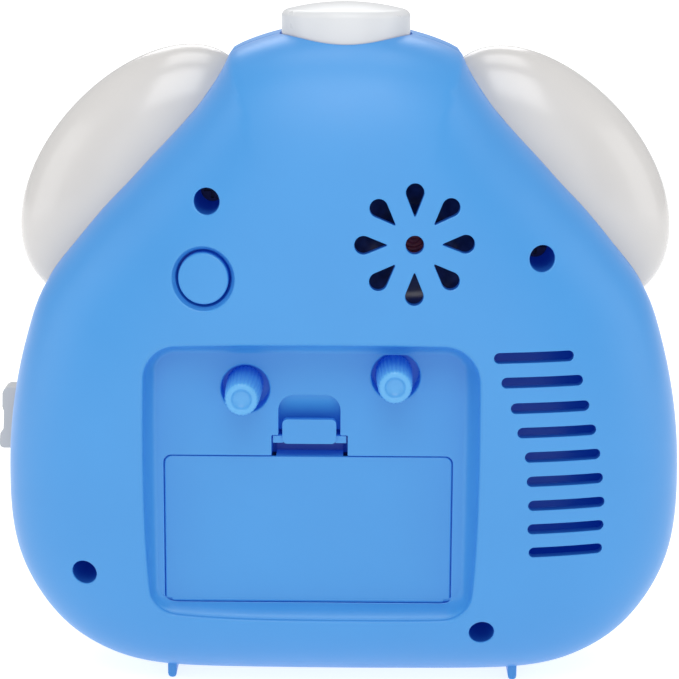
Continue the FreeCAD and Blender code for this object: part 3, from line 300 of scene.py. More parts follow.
def dome_normal(x, z, e=0.15):
    gx = (dome(x + e, z) - dome(x - e, z)) / (2 * e)
    gz = (dome(x, z + e) - dome(x, z - e)) / (2 * e)
    n = np.stack([-gx, np.ones_like(gx), -gz], -1)
    return n / np.linalg.norm(n, axis=-1)[..., None]


def skirt_point(phi, y):
    s = s_of_y(y)
    rb, rs = REARP.radii(phi)
    w = ease(s)
    r = s * (rb * (1 - w) + rs * w)
    return r * np.cos(phi), REAR_CZ + r * np.sin(phi)


def inside(poly, pts):
    """which of pts lie inside the closed polygon"""
    x, y = pts[:, 0], pts[:, 1]
    res = np.zeros(len(pts), bool)
    n = len(poly)
    for i in range(n):
        x0, y0 = poly[i]
        x1, y1 = poly[(i + 1) % n]
        if y0 == y1:
            continue
        c = ((y0 > y) != (y1 > y)) & (x < (x1 - x0) * (y - y0) / (y1 - y0) + x0)
        res ^= c
    return res


class Mesh:
    """collects vertices (mm, working frame) and faces, then makes one object"""

    def __init__(self):
        self.v, self.f, self.nrm, self.fm = [], [], {}, []

    def add(self, pts, normals=None):
        i = len(self.v)
        pts = [tuple(map(float, p)) for p in pts]
        self.v += pts
        if normals is not None:
            for k, n in enumerate(normals):
                self.nrm[i + k] = tuple(map(float, n))
        return list(range(i, i + len(pts)))

    def face(self, ids, m=0):
        self.f.append(tuple(ids))
        self.fm.append(m)

    def strip(self, rings, closed=True, flip=False, m=0):
        """quads between neighbouring rings of equal length"""
        for a, b in zip(rings, rings[1:]):
            n = len(a)
            for i in range(n if closed else n - 1):
                j = (i + 1) % n
                q = (a[i], a[j], b[j], b[i])
                self.face(q[::-1] if flip else q, m)

    def cap(self, ring, flip=False, m=0):
        self.face(ring[::-1] if flip else ring, m)

    def fill(self, outer, holes, step, height, normal=None, clear=0.55, m=0, flip=False, axes=(0, 2)):
        """triangulated sheet between an outer loop and hole loops of existing vertices; height gives the third coordinate"""
        a0, a1 = axes
        V2 = lambda i: (self.v[i][a0], self.v[i][a1])
        po = np.array([V2(i) for i in outer])
        ph = [np.array([V2(i) for i in h]) for h in holes]
        xs = np.arange(po[:, 0].min() + step * 0.37, po[:, 0].max(), step)
        zs = np.arange(po[:, 1].min() + step * 0.37, po[:, 1].max(), step * 0.866)
        g = np.array([(x + (step / 2 if k % 2 else 0), z) for k, z in enumerate(zs) for x in xs])
        ok = inside(po, g)
        for h in ph:
            ok &= ~inside(h, g)
        g = g[ok]
        rim = np.concatenate([po] + ph)
        # keep clear of the loops
        keep = np.ones(len(g), bool)
        for i0 in range(0, len(rim), 400):
            d = np.hypot(g[:, None, 0] - rim[None, i0:i0 + 400, 0], g[:, None, 1] - rim[None, i0:i0 + 400, 1])
            keep &= d.min(1) > step * clear
        g = g[keep]
        ids = list(outer) + [i for h in holes for i in h]
        pts = [Vector(V2(i)) for i in ids] + [Vector((float(p[0]), float(p[1]))) for p in g]
        edges, k = [], 0
        for lp in [outer] + list(holes):
            n = len(lp)
            edges += [(k + i, k + (i + 1) % n) for i in range(n)]
            k += n
        res = delaunay_2d_cdt(pts, edges, [], 0, 1e-7)
        out_v, out_f, orig = res[0], res[2], res[3]
        yy = height(g[:, 0], g[:, 1]) if len(g) else []
        nn = normal(g[:, 0], g[:, 1]) if (normal is not None and len(g)) else None
        new = []
        for p, y in zip(g, yy):
            q = [0, 0, 0]
            q[a0], q[a1], q[3 - a0 - a1] = p[0], p[1], y
            new.append(q)
        newi = self.add(new, nn)
        allid = ids + newi
        vm = []
        for k2, o in enumerate(orig):
            vm.append(allid[o[0]] if len(o) else None)
        c = np.array([[(out_v[t[0]][0] + out_v[t[1]][0] + out_v[t[2]][0]) / 3, (out_v[t[0]][1] + out_v[t[1]][1] + out_v[t[2]][1]) / 3] for t in out_f])
        okf = inside(po, c)
        for h in ph:
            okf &= ~inside(h, c)
        for t, k3 in zip(out_f, okf):
            if not k3 or any(vm[i] is None for i in t):
                continue
            ax, ay = out_v[t[0]]
            bx, by = out_v[t[1]]
            cx, cy = out_v[t[2]]
            ccw = (bx - ax) * (cy - ay) - (by - ay) * (cx - ax) > 0
            q = [vm[i] for i in t]
            if len(set(q)) < 3:
                continue
            if ccw != flip:
                q = q[::-1]
            self.face(q, m)

    def build(self, name, body, slot, mats=None, replaces=(), angle=38, off=OFF):
        me = bpy.data.meshes.new(name)
        me.from_pydata([((x + off[0]) * MM, (y + off[1]) * MM, (z + off[2]) * MM) for x, y, z in self.v], [], self.f)
        for mm in (mats or [M[slot]]):
            me.materials.append(mm)
        me.polygons.foreach_set("material_index", self.fm)
        me.polygons.foreach_set("use_smooth", [True] * len(me.polygons))
        me.validate(clean_customdata=False)
        me.update()
        if angle:
            me.set_sharp_from_angle(angle=math.radians(angle))
        if self.nrm:
            base = np.zeros(len(me.vertices) * 3, np.float32)
            me.vertices.foreach_get("normal", base)
            base = base.reshape(-1, 3)
            # corner normals: analytic where known, the mesh's own elsewhere
            cn = np.zeros(len(me.loops) * 3, np.float32)
            me.corner_normals.foreach_get("vector", cn)
            cn = cn.reshape(-1, 3)
            vi = np.zeros(len(me.loops), np.int32)
            me.loops.foreach_get("vertex_index", vi)
            known = np.zeros(len(me.vertices), bool)
            vals = np.zeros((len(me.vertices), 3), np.float32)
            for i, n in self.nrm.items():
                known[i] = True
                vals[i] = n
            sel = known[vi]
            cn[sel] = vals[vi[sel]]
            me.normals_split_custom_set(cn.tolist())
        ob = bpy.data.objects.new(name, me)
        bpy.context.scene.collection.objects.link(ob)
        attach(ob, body)
        if replaces:
            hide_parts(*replaces)
        return ob


def hull2(c0, r0, c1, r1, n):
    """outline of the convex hull of two circles: points and outward normals, counter-clockwise in (x, z)"""
    c0, c1 = np.array(c0, float), np.array(c1, float)
    d = c1 - c0
    L = np.hypot(*d)
    base = math.atan2(d[1], d[0])
    k = math.acos(max(-1, min(1, (r0 - r1) / L)))
    pts, nr = [], []
    n1 = max(4, int(n * k / math.pi))
    for i in range(n1 + 1):
        a = base - k + 2 * k * i / n1
        u = np.array([math.cos(a), math.sin(a)])
        pts.append(c1 + u * r1)
        nr.append(u)
    n0 = max(4, n - n1)
    for i in range(n0 + 1):
        a = base + k + 2 * (math.pi - k) * i / n0
        u = np.array([math.cos(a), math.sin(a)])
        pts.append(c0 + u * r0)
        nr.append(u)
    return np.array(pts), np.array(nr)


def circle(cx, cz, r, n, a0=0.0):
    a = a0 + np.arange(n) * TAU / n
    u = np.stack([np.cos(a), np.sin(a)], 1)
    return np.array([cx, cz]) + u * r, u


def bez(A, C, B, k):
    t = np.linspace(0, 1, k + 1)[:, None, None]
    return (1 - t) ** 2 * A[None] + 2 * t * (1 - t) * C[None] + t ** 2 * B[None]


def xyz(p, y):
    return np.stack([p[:, 0], np.broadcast_to(y, len(p)), p[:, 1]], 1)


def rim_hole(ms, pts, nr, d, depth, surf=dome, nsurf=dome_normal, k=3, draft=0.0, bottom=None, rows=1, m=0):
    """rounded rim and wall of an opening; returns the outer loop (on the surface) and the bottom loop"""
    B2 = pts + nr * d
    B = xyz(B2, surf(B2[:, 0], B2[:, 1]))
    yc = surf(pts[:, 0], pts[:, 1])
    C = xyz(pts, yc)
    A = xyz(pts, yc - d)
    rings = bez(B, C, A, k)
    ids = [ms.add(rings[0], nsurf(B2[:, 0], B2[:, 1]) if nsurf is not None else None)]
    for r in rings[1:]:
        ids.append(ms.add(r))
    yb = (yc - depth) if bottom is None else np.full(len(pts), float(bottom))
    for j in range(1, rows + 1):
        t = j / rows
        p = pts - nr * draft * t
        ids.append(ms.add(xyz(p, (yc - d) * (1 - t) + yb * t)))
    ms.strip(ids[:k + 1], True, flip=True)
    ms.strip(ids[k:], True, flip=True, m=m)
    return ids[0], ids[-1]


def rrect_pts(x0, x1, z0, z1, r, nc=8, ds=2.0):
    """rounded rectangle, counter-clockwise in (x, z): points, outward normals"""
    pts, nr = [], []
    segs = [((x0 + r, z0), (x1 - r, z0), (0, -1), (x1 - r, z0 + r), -90),
            ((x1, z0 + r), (x1, z1 - r), (1, 0), (x1 - r, z1 - r), 0),
            ((x1 - r, z1), (x0 + r, z1), (0, 1), (x0 + r, z1 - r), 90),
            ((x0, z1 - r), (x0, z0 + r), (-1, 0), (x0 + r, z0 + r), 180)]
    for a, b, n, c, a0 in segs:
        L = math.hypot(b[0] - a[0], b[1] - a[1])
        m = max(1, int(L / ds))
        for i in range(m):
            t = i / m
            pts.append((a[0] + (b[0] - a[0]) * t, a[1] + (b[1] - a[1]) * t))
            nr.append(n)
        for i in range(nc):
            th = math.radians(a0 + 90.0 * i / nc)
            pts.append((c[0] + r * math.cos(th), c[1] + r * math.sin(th)))
            nr.append((math.cos(th), math.sin(th)))
    return np.array(pts, float), np.array(nr, float)


# ------------------------------------------------------------------ rear shell
TOP_R, HOLE_R = 13.05, 13.4
FLOOR_Y = 21.2
SCREWS = ((26.9, 103.2), (-38.9, 92.15), (52.4, 26.9), (-28.35, 15.2))
GRILLE = (-13.7, 95.5)
SNOOZE = (27.5, 88.4)
KNOB_BORES = ((19.60, 65.25), (-10.40, 67.90))
KNOB_AX, KNOB_BX = (19.88, 65.25), (-10.12, 67.85)
VENTS = ((-29.6, -45.25, 73.2), (-31.15, -47.2, 68.3), (-33.1, -48.6, 63.15), (-34.5, -50.1, 58.2),
         (-36.1, -51.1, 53.2), (-36.6, -51.8, 48.2), (-37.0, -52.3, 43.2), (-37.0, -52.3, 38.25), (-37.4, -52.2, 33.25))
SKIRT_TOP = 16.5


def solve_phi(X, Y, sfun):
    """angle at which the section at height Y passes over X, near the top"""
    lo, hi = math.pi / 2 - 0.5, math.pi / 2 + 0.5
    for _ in range(50):
        mid = (lo + hi) / 2
        if sfun(mid, Y)[0] > X:
            lo = mid
        else:
            hi = mid
    return (lo + hi) / 2


def surf_normal(sfun, phi, y):
    """outward normal of a shell side, with y counted away from the parting plane"""
    e = 0.004
    g = lambda a, b: np.array([sfun(a, b)[0], b, sfun(a, b)[1]], float)
    d1 = g(phi + e, y) - g(phi - e, y)
    ya, yb = max(0.0, y - 0.05), y + 0.05
    d2 = g(phi, yb) - g(phi, ya)
    m = np.cross(d2, d1)
    m /= np.linalg.norm(m)
    if m[0] * math.cos(phi) + m[2] * math.sin(phi) < 0 and abs(m[1]) < 0.9:
        m = -m
    if abs(m[1]) >= 0.9 and m[1] < 0:
        m = -m
    return m


def shell_skirt(ms, sfun, cz, sgn, ylist, edge, step=1.75, extra=(), skip=None):
    """side of a shell from the parting plane outward, with half of the top button hole.
    sfun(phi, y) gives (x, z); sgn is +1 for the rear shell and -1 for the front one; edge lists the
    (inset, y) steps of the parting edge; extra holds further column angles. Returns the last ring."""
    n = int(_cum[-1] / step)
    pts = np.array([_dense[min(7999, int(np.searchsorted(_cum, _cum[-1] * (i + 0.5) / n)))] for i in range(n)])
    keep = ~((pts[:, 1] > 100) & (np.abs(pts[:, 0]) < HOLE_R + 1.3))
    pts = pts[keep]
    phis = [math.atan2(z - cz, x) for x, z in pts]
    for e in extra:
        phis = [p for p in phis if abs(p - e) > 0.012] + [e]
    phis.sort()
    cols = [("n", p) for p in phis if p < math.pi / 2]
    cols += [("h", math.pi * k / 40) for k in range(41)]
    cols += [("n", p) for p in phis if p >= math.pi / 2]
    ne = len(edge)
    rings = [[] for _ in range(ne + 1 + len(ylist))]
    nr = [[] for _ in rings]
    y0n, ytop = 0.3, ylist[-1]
    for kind, v in cols:
        if kind == "n":
            phi = v
            x, z = sfun(phi, 0.0)
            x2, z2 = sfun(phi + 0.002, 0.0)
            tg = np.array([x2 - x, z2 - z], float)
            tg /= np.hypot(*tg)
            nn = np.array([tg[1], -tg[0]])
            rows = [(x - nn[0] * t, y * sgn, z - nn[1] * t) for t, y in edge]
            y0 = y0n
        else:
            ca, sa = math.cos(v), math.sin(v)
            ro = HOLE_R + 0.3
            zi = sfun(solve_phi(HOLE_R * ca, HOLE_R * sa, sfun), HOLE_R * sa)[1]
            phi = solve_phi(ro * ca, ro * sa, sfun)
            rows = [(HOLE_R * ca, HOLE_R * sa * sgn, zi - d) for d in np.linspace(3.2, 0.3, ne - 1)]
            rows.append(((HOLE_R + 0.08) * ca, (HOLE_R + 0.08) * sa * sgn, zi - 0.08))
            y0 = max(ro * sa, 0.02)
        for j, r in enumerate(rows):
            rings[j].append(r)
            nr[j].append(None)
        for j, yl in enumerate([y0n] + list(ylist)):
            t = (yl - y0n) / (ytop - y0n)
            y = y0 + (ytop - y0) * t
            x, z = sfun(phi, y)
            rings[ne + j].append((float(x), y * sgn, float(z)))
            m = surf_normal(sfun, phi, y)
            nr[ne + j].append((m[0], m[1] * sgn, m[2]))
    ids = [ms.add(r, None if j < ne else nr[j]) for j, r in enumerate(rings)]
    if skip is None:
        ms.strip(ids, True, flip=(sgn > 0))
    else:
        for a, b in zip(ids, ids[1:]):
            for i in range(len(a)):
                j = (i + 1) % len(a)
                c = sum(np.array(ms.v[k]) for k in (a[i], a[j], b[j], b[i])) / 4
                if skip(c):
                    continue
                q = (a[i], a[j], b[j], b[i])
                ms.face(q[::-1] if sgn > 0 else q)
    return ids[-1]


class Well:
    """drafted recess with rounded corners, as points linked from height to height"""

    def __init__(self, nx=26, nz=24, nc=10):
        k, f, a = [], [], []
        for c in range(4):
            a0 = math.radians(-90 + 90 * c)
            # straight side c runs from corner c - 1 to corner c
            n = nx if c in (0, 2) else nz
            for i in range(n):
                k.append((c + 3) % 4)
                f.append(i / n)
                a.append(a0)
            for i in range(nc):
                k.append(c)
                f.append(0.0)
                a.append(a0 + math.radians(90.0) * i / nc)
        self.k, self.f, self.a = np.array(k), np.array(f), np.array(a)
        self.d = np.stack([np.cos(self.a), np.sin(self.a)], 1)

    def ring(self, Y):
        dy = np.broadcast_to(np.asarray(Y, float), self.f.shape) - FLOOR_Y
        x0, x1 = -24.3 - 0.34 * dy, 37.75 + 0.32 * dy
        z0, z1 = 20.25 - 0.56 * dy, 72.7 + 0.36 * dy
        R = 4.2 + 4.3 * dy / 10.8
        cx = np.stack([x1 - R, x1 - R, x0 + R, x0 + R])
        cz = np.stack([z0 + R, z1 - R, z1 - R, z0 + R])
        i = np.arange(len(self.f))
        k, k1 = self.k, (self.k + 1) % 4
        X = cx[k, i] * (1 - self.f) + cx[k1, i] * self.f + R * self.d[:, 0]
        Z = cz[k, i] * (1 - self.f) + cz[k1, i] * self.f + R * self.d[:, 1]
        return np.stack([X, Z], 1)


def poly_normals(P):
    """mitred outward normals of a counter-clockwise polygon"""
    e = np.roll(P, -1, 0) - P
    e /= np.hypot(*e.T)[:, None]
    n = np.stack([e[:, 1], -e[:, 0]], 1)
    a = n + np.roll(n, 1, 0)
    a /= np.maximum(np.hypot(*a.T), 1e-6)[:, None]
    c = np.maximum((a * n).sum(1), 0.5)
    return a / c[:, None]


def quad(ms, a, b, c, d, want=(0, 1, 0), m=0):
    """flat patch facing the wanted way"""
    A, B, C = (np.array(v, float) for v in (a, b, c))
    nrm = np.cross(B - A, C - A)
    i = ms.add([a, b, c, d])
    ms.face(i if float(nrm.dot(np.array(want, float))) > 0 else i[::-1], m)


def scoop(z):
    return np.interp(z, [55.6, 57.4, 59.4, 62.2, 64.2], [15.9, 16.6, 17.9, 19.6, 20.7])


def rib(ms, fx, y0, y1):
    prof = [(-0.92, 5.0), (-0.92, 0.95), (-0.8, 0.42), (-0.5, 0.1), (0, 0), (0.5, 0.1), (0.8, 0.42), (0.92, 0.95), (0.92, 5.0)]
    ra, rb, r0, r1 = [], [], [], []
    for x, z in prof:
        r0.append((fx + x * 0.72, y0, z + (0.25 if z < 1 else 0)))
        ra.append((fx + x, y0 + 0.3, z))
        rb.append((fx + x, y1 - 0.3, z))
        r1.append((fx + x * 0.72, y1, z + (0.25 if z < 1 else 0)))
    ids = [ms.add(r) for r in (r0, ra, rb, r1)]
    ms.strip(ids, False, flip=True)
    ms.face(ids[0])
    ms.face(ids[-1][::-1])


def make_rear():
    ms = Mesh()
    yl = [0.8, 1.6, 2.6, 3.8, 5.0, 6.3, 7.6, 8.9, 10.2, 11.5, 12.8, 14.1, 15.3, SKIRT_TOP]
    top = shell_skirt(ms, skirt_point, REAR_CZ, 1, yl, [(2.2, 0.0), (0.9, 0.0), (0.28, 0.0), (0.07, 0.08)])
    holes = []
    # screw bores; walls and floor in the painted-shade material
    for (x, z) in SCREWS:
        p, n = circle(x, z, 2.55, 40)
        o, b = rim_hole(ms, p, n, 0.42, 0, bottom=4.05, draft=0.12, k=4, rows=2, m=1)
        holes.append(o)
        ms.cap(b, flip=True, m=1)
    # grille; walls in the painted-shade material
    p, n = circle(GRILLE[0], GRILLE[1], 1.78, 28)
    o, b = rim_hole(ms, p, n, 0.28, 2.3, m=1)
    holes.append(o)
    for k in range(8):
        a = math.radians(90 + 45 * k)
        d = np.array([math.cos(a), math.sin(a)])
        g = np.array(GRILLE)
        p, n = hull2(g + d * 5.62, 0.16, g + d * 9.95, 1.78, 40)
        o, b = rim_hole(ms, p, n, 0.26, 2.3, m=1)
        holes.append(o)
    # vents; walls in the painted-shade material
    for (xr, xl, z) in VENTS:
        h = 1.05
        p, n = hull2((xl + 0.925, z), h - 0.001, (xr - 0.925, z), h, 24)
        # more points along the straight sides
        q, m = [], []
        for i in range(len(p)):
            j = (i + 1) % len(p)
            q.append(p[i])
            m.append(n[i])
            L = np.hypot(*(p[j] - p[i]))
            if L > 4:
                c = int(L / 1.6)
                for t in range(1, c):
                    q.append(p[i] + (p[j] - p[i]) * t / c)
                    m.append(n[i])
        o, b = rim_hole(ms, np.array(q), np.array(m), 0.2, 2.3, m=1)
        holes.append(o)
    # rear button hole: rounded rim, a cone and a straight wall down to a ledge; the lower cone, the wall and the ledge
    # take the painted-shade material
    p, n = circle(SNOOZE[0], SNOOZE[1], 6.15, 72)
    o, b = rim_hole(ms, p, n, 0.45, 0.5, k=4)
    yc = dome(p[:, 0], p[:, 1])
    q, _ = circle(SNOOZE[0], SNOOZE[1], 5.34, 72)
    qc = dome(q[:, 0], q[:, 1])
    c1 = ms.add(xyz((p + q * 2) / 3, (yc + qc * 2) / 3 - 1.25))
    c2 = ms.add(xyz(q, qc - 1.9))
    ms.strip([b, c1], True, flip=True)
    ms.strip([c1, c2], True, flip=True, m=1)
    c3 = ms.add(xyz(q, 21.0))
    q2, _ = circle(SNOOZE[0], SNOOZE[1], 3.0, 72)
    ms.strip([c2, c3, ms.add(xyz(q2, 21.0))], True, flip=True, m=1)
    holes.append(o)
    # control recess
    W = Well()
    lo, hi = np.full(len(W.f), FLOOR_Y), np.full(len(W.f), 31.9)
    for _ in range(40):
        mid = (lo + hi) / 2
        r = W.ring(mid)
        g = dome(r[:, 0], r[:, 1]) - mid
        lo, hi = np.where(g > 0, mid, lo), np.where(g > 0, hi, mid)
    ys = (lo + hi) / 2
    C2 = W.ring(ys)
    B2 = C2 + W.d * 0.95
    A2 = W.ring(ys - 0.2) - W.d * 0.02
    B = xyz(B2, dome(B2[:, 0], B2[:, 1]))
    C = xyz(C2, ys)
    A = xyz(A2, ys - 0.95)
    rings = [r for r in bez(B, C, A, 6)]
    # the wall sweeps into the floor in one soft curve
    F2 = W.ring(FLOOR_Y) - W.d * 0.35
    low = np.clip(-W.d[:, 1], 0.0, 1.0) ** 2
    for j in range(1, 15):
        t = math.pi / 2 * j / 14
        u = (1 - math.cos(t)) ** 0.85
        v = math.sin(t) ** 1.15
        # the lower wall keeps a straight draft
        u = u * (1 - low) + (j / 14) ** 0.6 * low
        v = v * (1 - low) + (j / 14) * low
        y = FLOOR_Y + (ys - 0.95 - FLOOR_Y) * (1 - v)
        rings.append(xyz(A2 + (F2 - A2) * (u[:, None] if hasattr(u, "shape") else u), y))
    ids = [ms.add(rings[0], dome_normal(B2[:, 0], B2[:, 1]))] + [ms.add(r) for r in rings[1:-1]]
    ids.append(ms.add(rings[-1], np.tile([0, 1, 0], (len(rings[-1]), 1))))
    ms.strip(ids, True, flip=True)
    holes.append(ids[0])
    floor_outer = ids[-1]
    ms.fill(top, holes, 2.1, dome, dome_normal)
    # recess floor
    flat = lambda x, z: np.full(np.shape(x), FLOOR_Y)
    flatn = lambda x, z: np.tile([0.0, 1.0, 0.0], (len(x), 1))
    fh = []
    for (x, z), (ax, az) in zip(KNOB_BORES, (KNOB_AX, KNOB_BX)):
        p, n = circle(x, z, 4.85, 56)
        o, b = rim_hole(ms, p, n, 0.38, 0, surf=flat, nsurf=flatn, bottom=15.6, k=4, rows=2)
        fh.append(o)
        q, _ = circle(ax, az, 1.95, 56)
        i1 = ms.add(xyz(p, 15.6))
        i2 = ms.add(xyz(q, 15.6))
        i3 = ms.add(xyz(q, 14.2))
        ms.strip([i1, i2], True, flip=True)
        i2b = ms.add(xyz(q, 15.6))
        ms.strip([i2b, i3], True, flip=True)
    # one outline for the door opening, the latch notch and the finger scoop
    P, D = [], []

    def run(a, b, d, ds=1.8):
        L = math.hypot(b[0] - a[0], b[1] - a[1])
        m = max(1, int(L / ds))
        for i in range(m):
            t = i / m
            P.append((a[0] + (b[0] - a[0]) * t, a[1] + (b[1] - a[1]) * t))
            D.append(d)

    def arc(cx, cz, r, a0, a1, d, m=8):
        for i in range(m):
            t = math.radians(a0 + (a1 - a0) * i / m)
            P.append((cx + r * math.cos(t), cz + r * math.sin(t)))
            D.append(d)
    x0, x1, z0, z1, r = -22.1, 36.15, 20.3, 51.5, 1.6
    L1, L2, L3 = 19.55, 14.4, None
    run((x0 + r, z0), (x1 - r, z0), L1)
    arc(x1 - r, z0 + r, r, -90, 0, L1)
    run((x1, z0 + r), (x1, z1 - r), L1)
    arc(x1 - r, z1 - r, r, 0, 90, L1)
    run((x1 - r, z1), (14.75, z1), L1)
    arc(14.70, z1 + 0.3, 0.3, 270, 225, L1, 2)
    arc(14.70, z1 + 0.3, 0.3, 225, 180, L2, 2)
    run((14.40, z1 + 0.3), (14.40, 55.5), L2)
    arc(14.20, 55.5, 0.2, 0, 90, L2, 3)
    run((14.2, 55.7), (13.35, 55.7), L2, 0.6)
    arc(13.30, 56.0, 0.3, 270, 225, L2, 2)
    arc(13.30, 56.0, 0.3, 225, 180, L3, 2)
    run((13.0, 56.0), (13.0, 64.05 - 3.2), L3, 0.8)
    arc(9.8, 60.85, 3.2, 0, 90, L3, 10)
    run((9.8, 64.05), (3.8, 64.05), L3, 1.0)
    arc(3.8, 60.85, 3.2, 90, 180, L3, 10)
    run((0.6, 60.85), (0.6, 56.0), L3, 0.8)
    arc(0.30, 56.0, 0.3, 0, -45, L3, 2)
    arc(0.30, 56.0, 0.3, -45, -90, L2, 2)
    run((0.3, 55.7), (-0.7, 55.7), L2, 0.6)
    arc(-0.7, 55.5, 0.2, 90, 180, L2, 3)
    run((-0.9, 55.5), (-0.9, z1 + 0.3), L2)
    arc(-1.20, z1 + 0.3, 0.3, 0, -45, L2, 2)
    arc(-1.20, z1 + 0.3, 0.3, -45, -90, L1, 2)
    run((-1.2, z1), (x0 + r, z1), L1)
    arc(x0 + r, z1 - r, r, 90, 180, L1)
    run((x0, z1 - r), (x0, z0 + r), L1)
    arc(x0 + r, z0 + r, r, 180, 270, L1)
    P = np.array(P, float)
    N = poly_normals(P)
    D = [float(scoop(p[1])) if d is None else d for p, d in zip(P, D)]
    e = 0.17
    Bf = P + N * e
    rr = [xyz(Bf, FLOOR_Y)] + [q for q in bez(xyz(Bf, FLOOR_Y), xyz(P, FLOOR_Y), xyz(P, FLOOR_Y - e), 2)][1:]
    rr.append(np.stack([P[:, 0], np.array(D), P[:, 1]], 1))
    ii = [ms.add(rr[0], np.tile([0.0, 1.0, 0.0], (len(P), 1)))] + [ms.add(q) for q in rr[1:]]
    ms.strip(ii, True, flip=True)
    fh.append(ii[0])
    ms.fill(floor_outer, fh, 4.0, flat, flatn)
    # finger scoop surface
    sel = [i for i, p in enumerate(P) if p[1] > 55.99 and 0.5 < p[0] < 13.1]
    lp = ms.add([(P[i][0], scoop(P[i][1]), P[i][1]) for i in sel])
    base = ms.add([(x, scoop(55.72), 55.72) for x in np.linspace(0.6, 13.0, 9)])
    ms.fill(lp + base, [], 1.1, lambda x, z: scoop(z), None, clear=0.45)
    # underside of the scoop and back of the latch notch in the painted-shade material
    quad(ms, (0.6, 15.94, 55.72), (13.0, 15.94, 55.72), (13.0, 14.4, 55.72), (0.6, 14.4, 55.72), (0, 0, -1), m=1)
    quad(ms, (-0.9, 14.4, 50.5), (-0.9, 14.4, 55.7), (14.4, 14.4, 55.7), (14.4, 14.4, 50.5), m=1)
    # battery bay
    bx0, bx1, bz0, bz1, by = -21.2, 35.3, 21.6, 50.9, 5.0
    L = 19.55
    for (a, b, c, d) in ((x0, x1, z0, bz0), (x0, bx0, bz0, bz1), (bx1, x1, bz0, bz1), (x0, -0.9, bz1, z1), (14.4, x1, bz1, z1)):
        quad(ms, (a, L, c), (a, L, d), (b, L, d), (b, L, c))
    quad(ms, (bx0, by, bz0), (bx0, by, bz1), (bx1, by, bz1), (bx1, by, bz0))
    quad(ms, (bx0, by, bz0), (bx1, by, bz0), (bx1, L, bz0), (bx0, L, bz0), (0, 0, 1))
    quad(ms, (bx0, by, bz0), (bx0, L, bz0), (bx0, L, bz1), (bx0, by, bz1), (1, 0, 0))
    quad(ms, (bx1, by, bz0), (bx1, by, bz1), (bx1, L, bz1), (bx1, L, bz0), (-1, 0, 0))
    for (a, b, yt) in ((bx0, -0.9, L), (14.4, bx1, L), (-0.9, 14.4, 14.4)):
        quad(ms, (a, by, bz1), (a, yt, bz1), (b, yt, bz1), (b, by, bz1), (0, 0, -1))
    for a in (-0.9, 14.4):
        quad(ms, (a, 14.4, 50.9), (a, L, 50.9), (a, L, 51.5), (a, 14.4, 51.5), (1 if a < 0 else -1, 0, 0))
    for sx in (-1, 1):
        rib(ms, sx * 35.85, 2.0, 10.3)
    # inner wall behind the air slots, in the painted-shade material: a dark sheet that keeps the view through the slots
    # deep blue
    gx = np.linspace(-57.0, -26.5, 14)
    gz = np.linspace(28.0, 79.0, 22)
    rows = []
    for z in gz:
        rows.append(ms.add([(x, max(4.6, float(dome(x, z)) - 12.0), z) for x in gx]))
    ms.strip(rows, False, flip=False, m=1)
    return ms.build("rear_shell_skin", "case", "shell_blue", mats=[M["shell_blue"], M["shell_painted_shade"]], replaces=("rear_shell",), angle=40)


make_rear()

# ------------------------------------------------------------------ front shell
_FY = np.array([0.0, 4.0, 9.0, 14.0, 19.0, 23.5, 27.0, 29.6, 31.3, 32.0])
_FS = np.array([1.0, 1.004, 1.003, 0.996, 0.978, 0.947, 0.903, 0.848, 0.785, 0.722])
FRONTP = Polar(FRONT_CZ)


def cubic(xs, ys):
    """natural cubic spline"""
    n = len(xs)
    h = np.diff(xs)
    A = np.eye(n)
    B = np.zeros(n)
    for i in range(1, n - 1):
        A[i, i - 1], A[i, i], A[i, i + 1] = h[i - 1], 2 * (h[i - 1] + h[i]), h[i]
        B[i] = 6 * ((ys[i + 1] - ys[i]) / h[i] - (ys[i] - ys[i - 1]) / h[i - 1])
    m = np.linalg.solve(A, B)

    def f(x):
        x = np.clip(np.asarray(x, float), xs[0], xs[-1])
        k = np.clip(np.searchsorted(xs, x, side="right") - 1, 0, n - 2)
        a, b, hh = xs[k + 1] - x, x - xs[k], h[k]
        return (m[k] * a ** 3 + m[k + 1] * b ** 3) / (6 * hh) + (ys[k] / hh - m[k] * hh / 6) * a + (ys[k + 1] / hh - m[k + 1] * hh / 6) * b
    return f


FS = cubic(_FY, _FS)
_fy = np.linspace(9.0, 32.0, 400)
_fs = FS(_fy)


def front_point(phi, y):
    s = FS(y)
    rb, rs = FRONTP.radii(phi)
    w = ease(s) if y > 9 else 0.0
    r = s * (rb * (1 - w) + rs * w)
    return r * np.cos(phi), FRONT_CZ + r * np.sin(phi)


def front_face(x, z):
    """Y of the front surface over (x, z)"""
    x = np.asarray(x, float)
    z = np.asarray(z, float) - FRONT_CZ
    r = np.hypot(x, z)
    rb, rs = FRONTP.radii(np.arctan2(z, x))
    s = r / rb
    for _ in range(14):
        w = ease(s)
        s = r / (rb * (1 - w) + rs * w)
    return -np.interp(-s, -_fs, _fy)


def front_normal(x, z, e=0.2):
    gx = (front_face(x + e, z) - front_face(x - e, z)) / (2 * e)
    gz = (front_face(x, z + e) - front_face(x, z - e)) / (2 * e)
    n = np.stack([gx, -np.ones_like(gx), gz], -1)
    return n / np.linalg.norm(n, axis=-1)[..., None]


def front_phi(zv):
    """angle on the +X side where the outline passes height zv"""
    lo, hi = -1.2, 1.2
    for _ in range(50):
        mid = (lo + hi) / 2
        if front_point(mid, 7.0)[1] > zv:
            hi = mid
        else:
            lo = mid
    return (lo + hi) / 2


SWY0, SWY1, SWZ0, SWZ1 = -10.0, -4.0, 43.8, 61.4


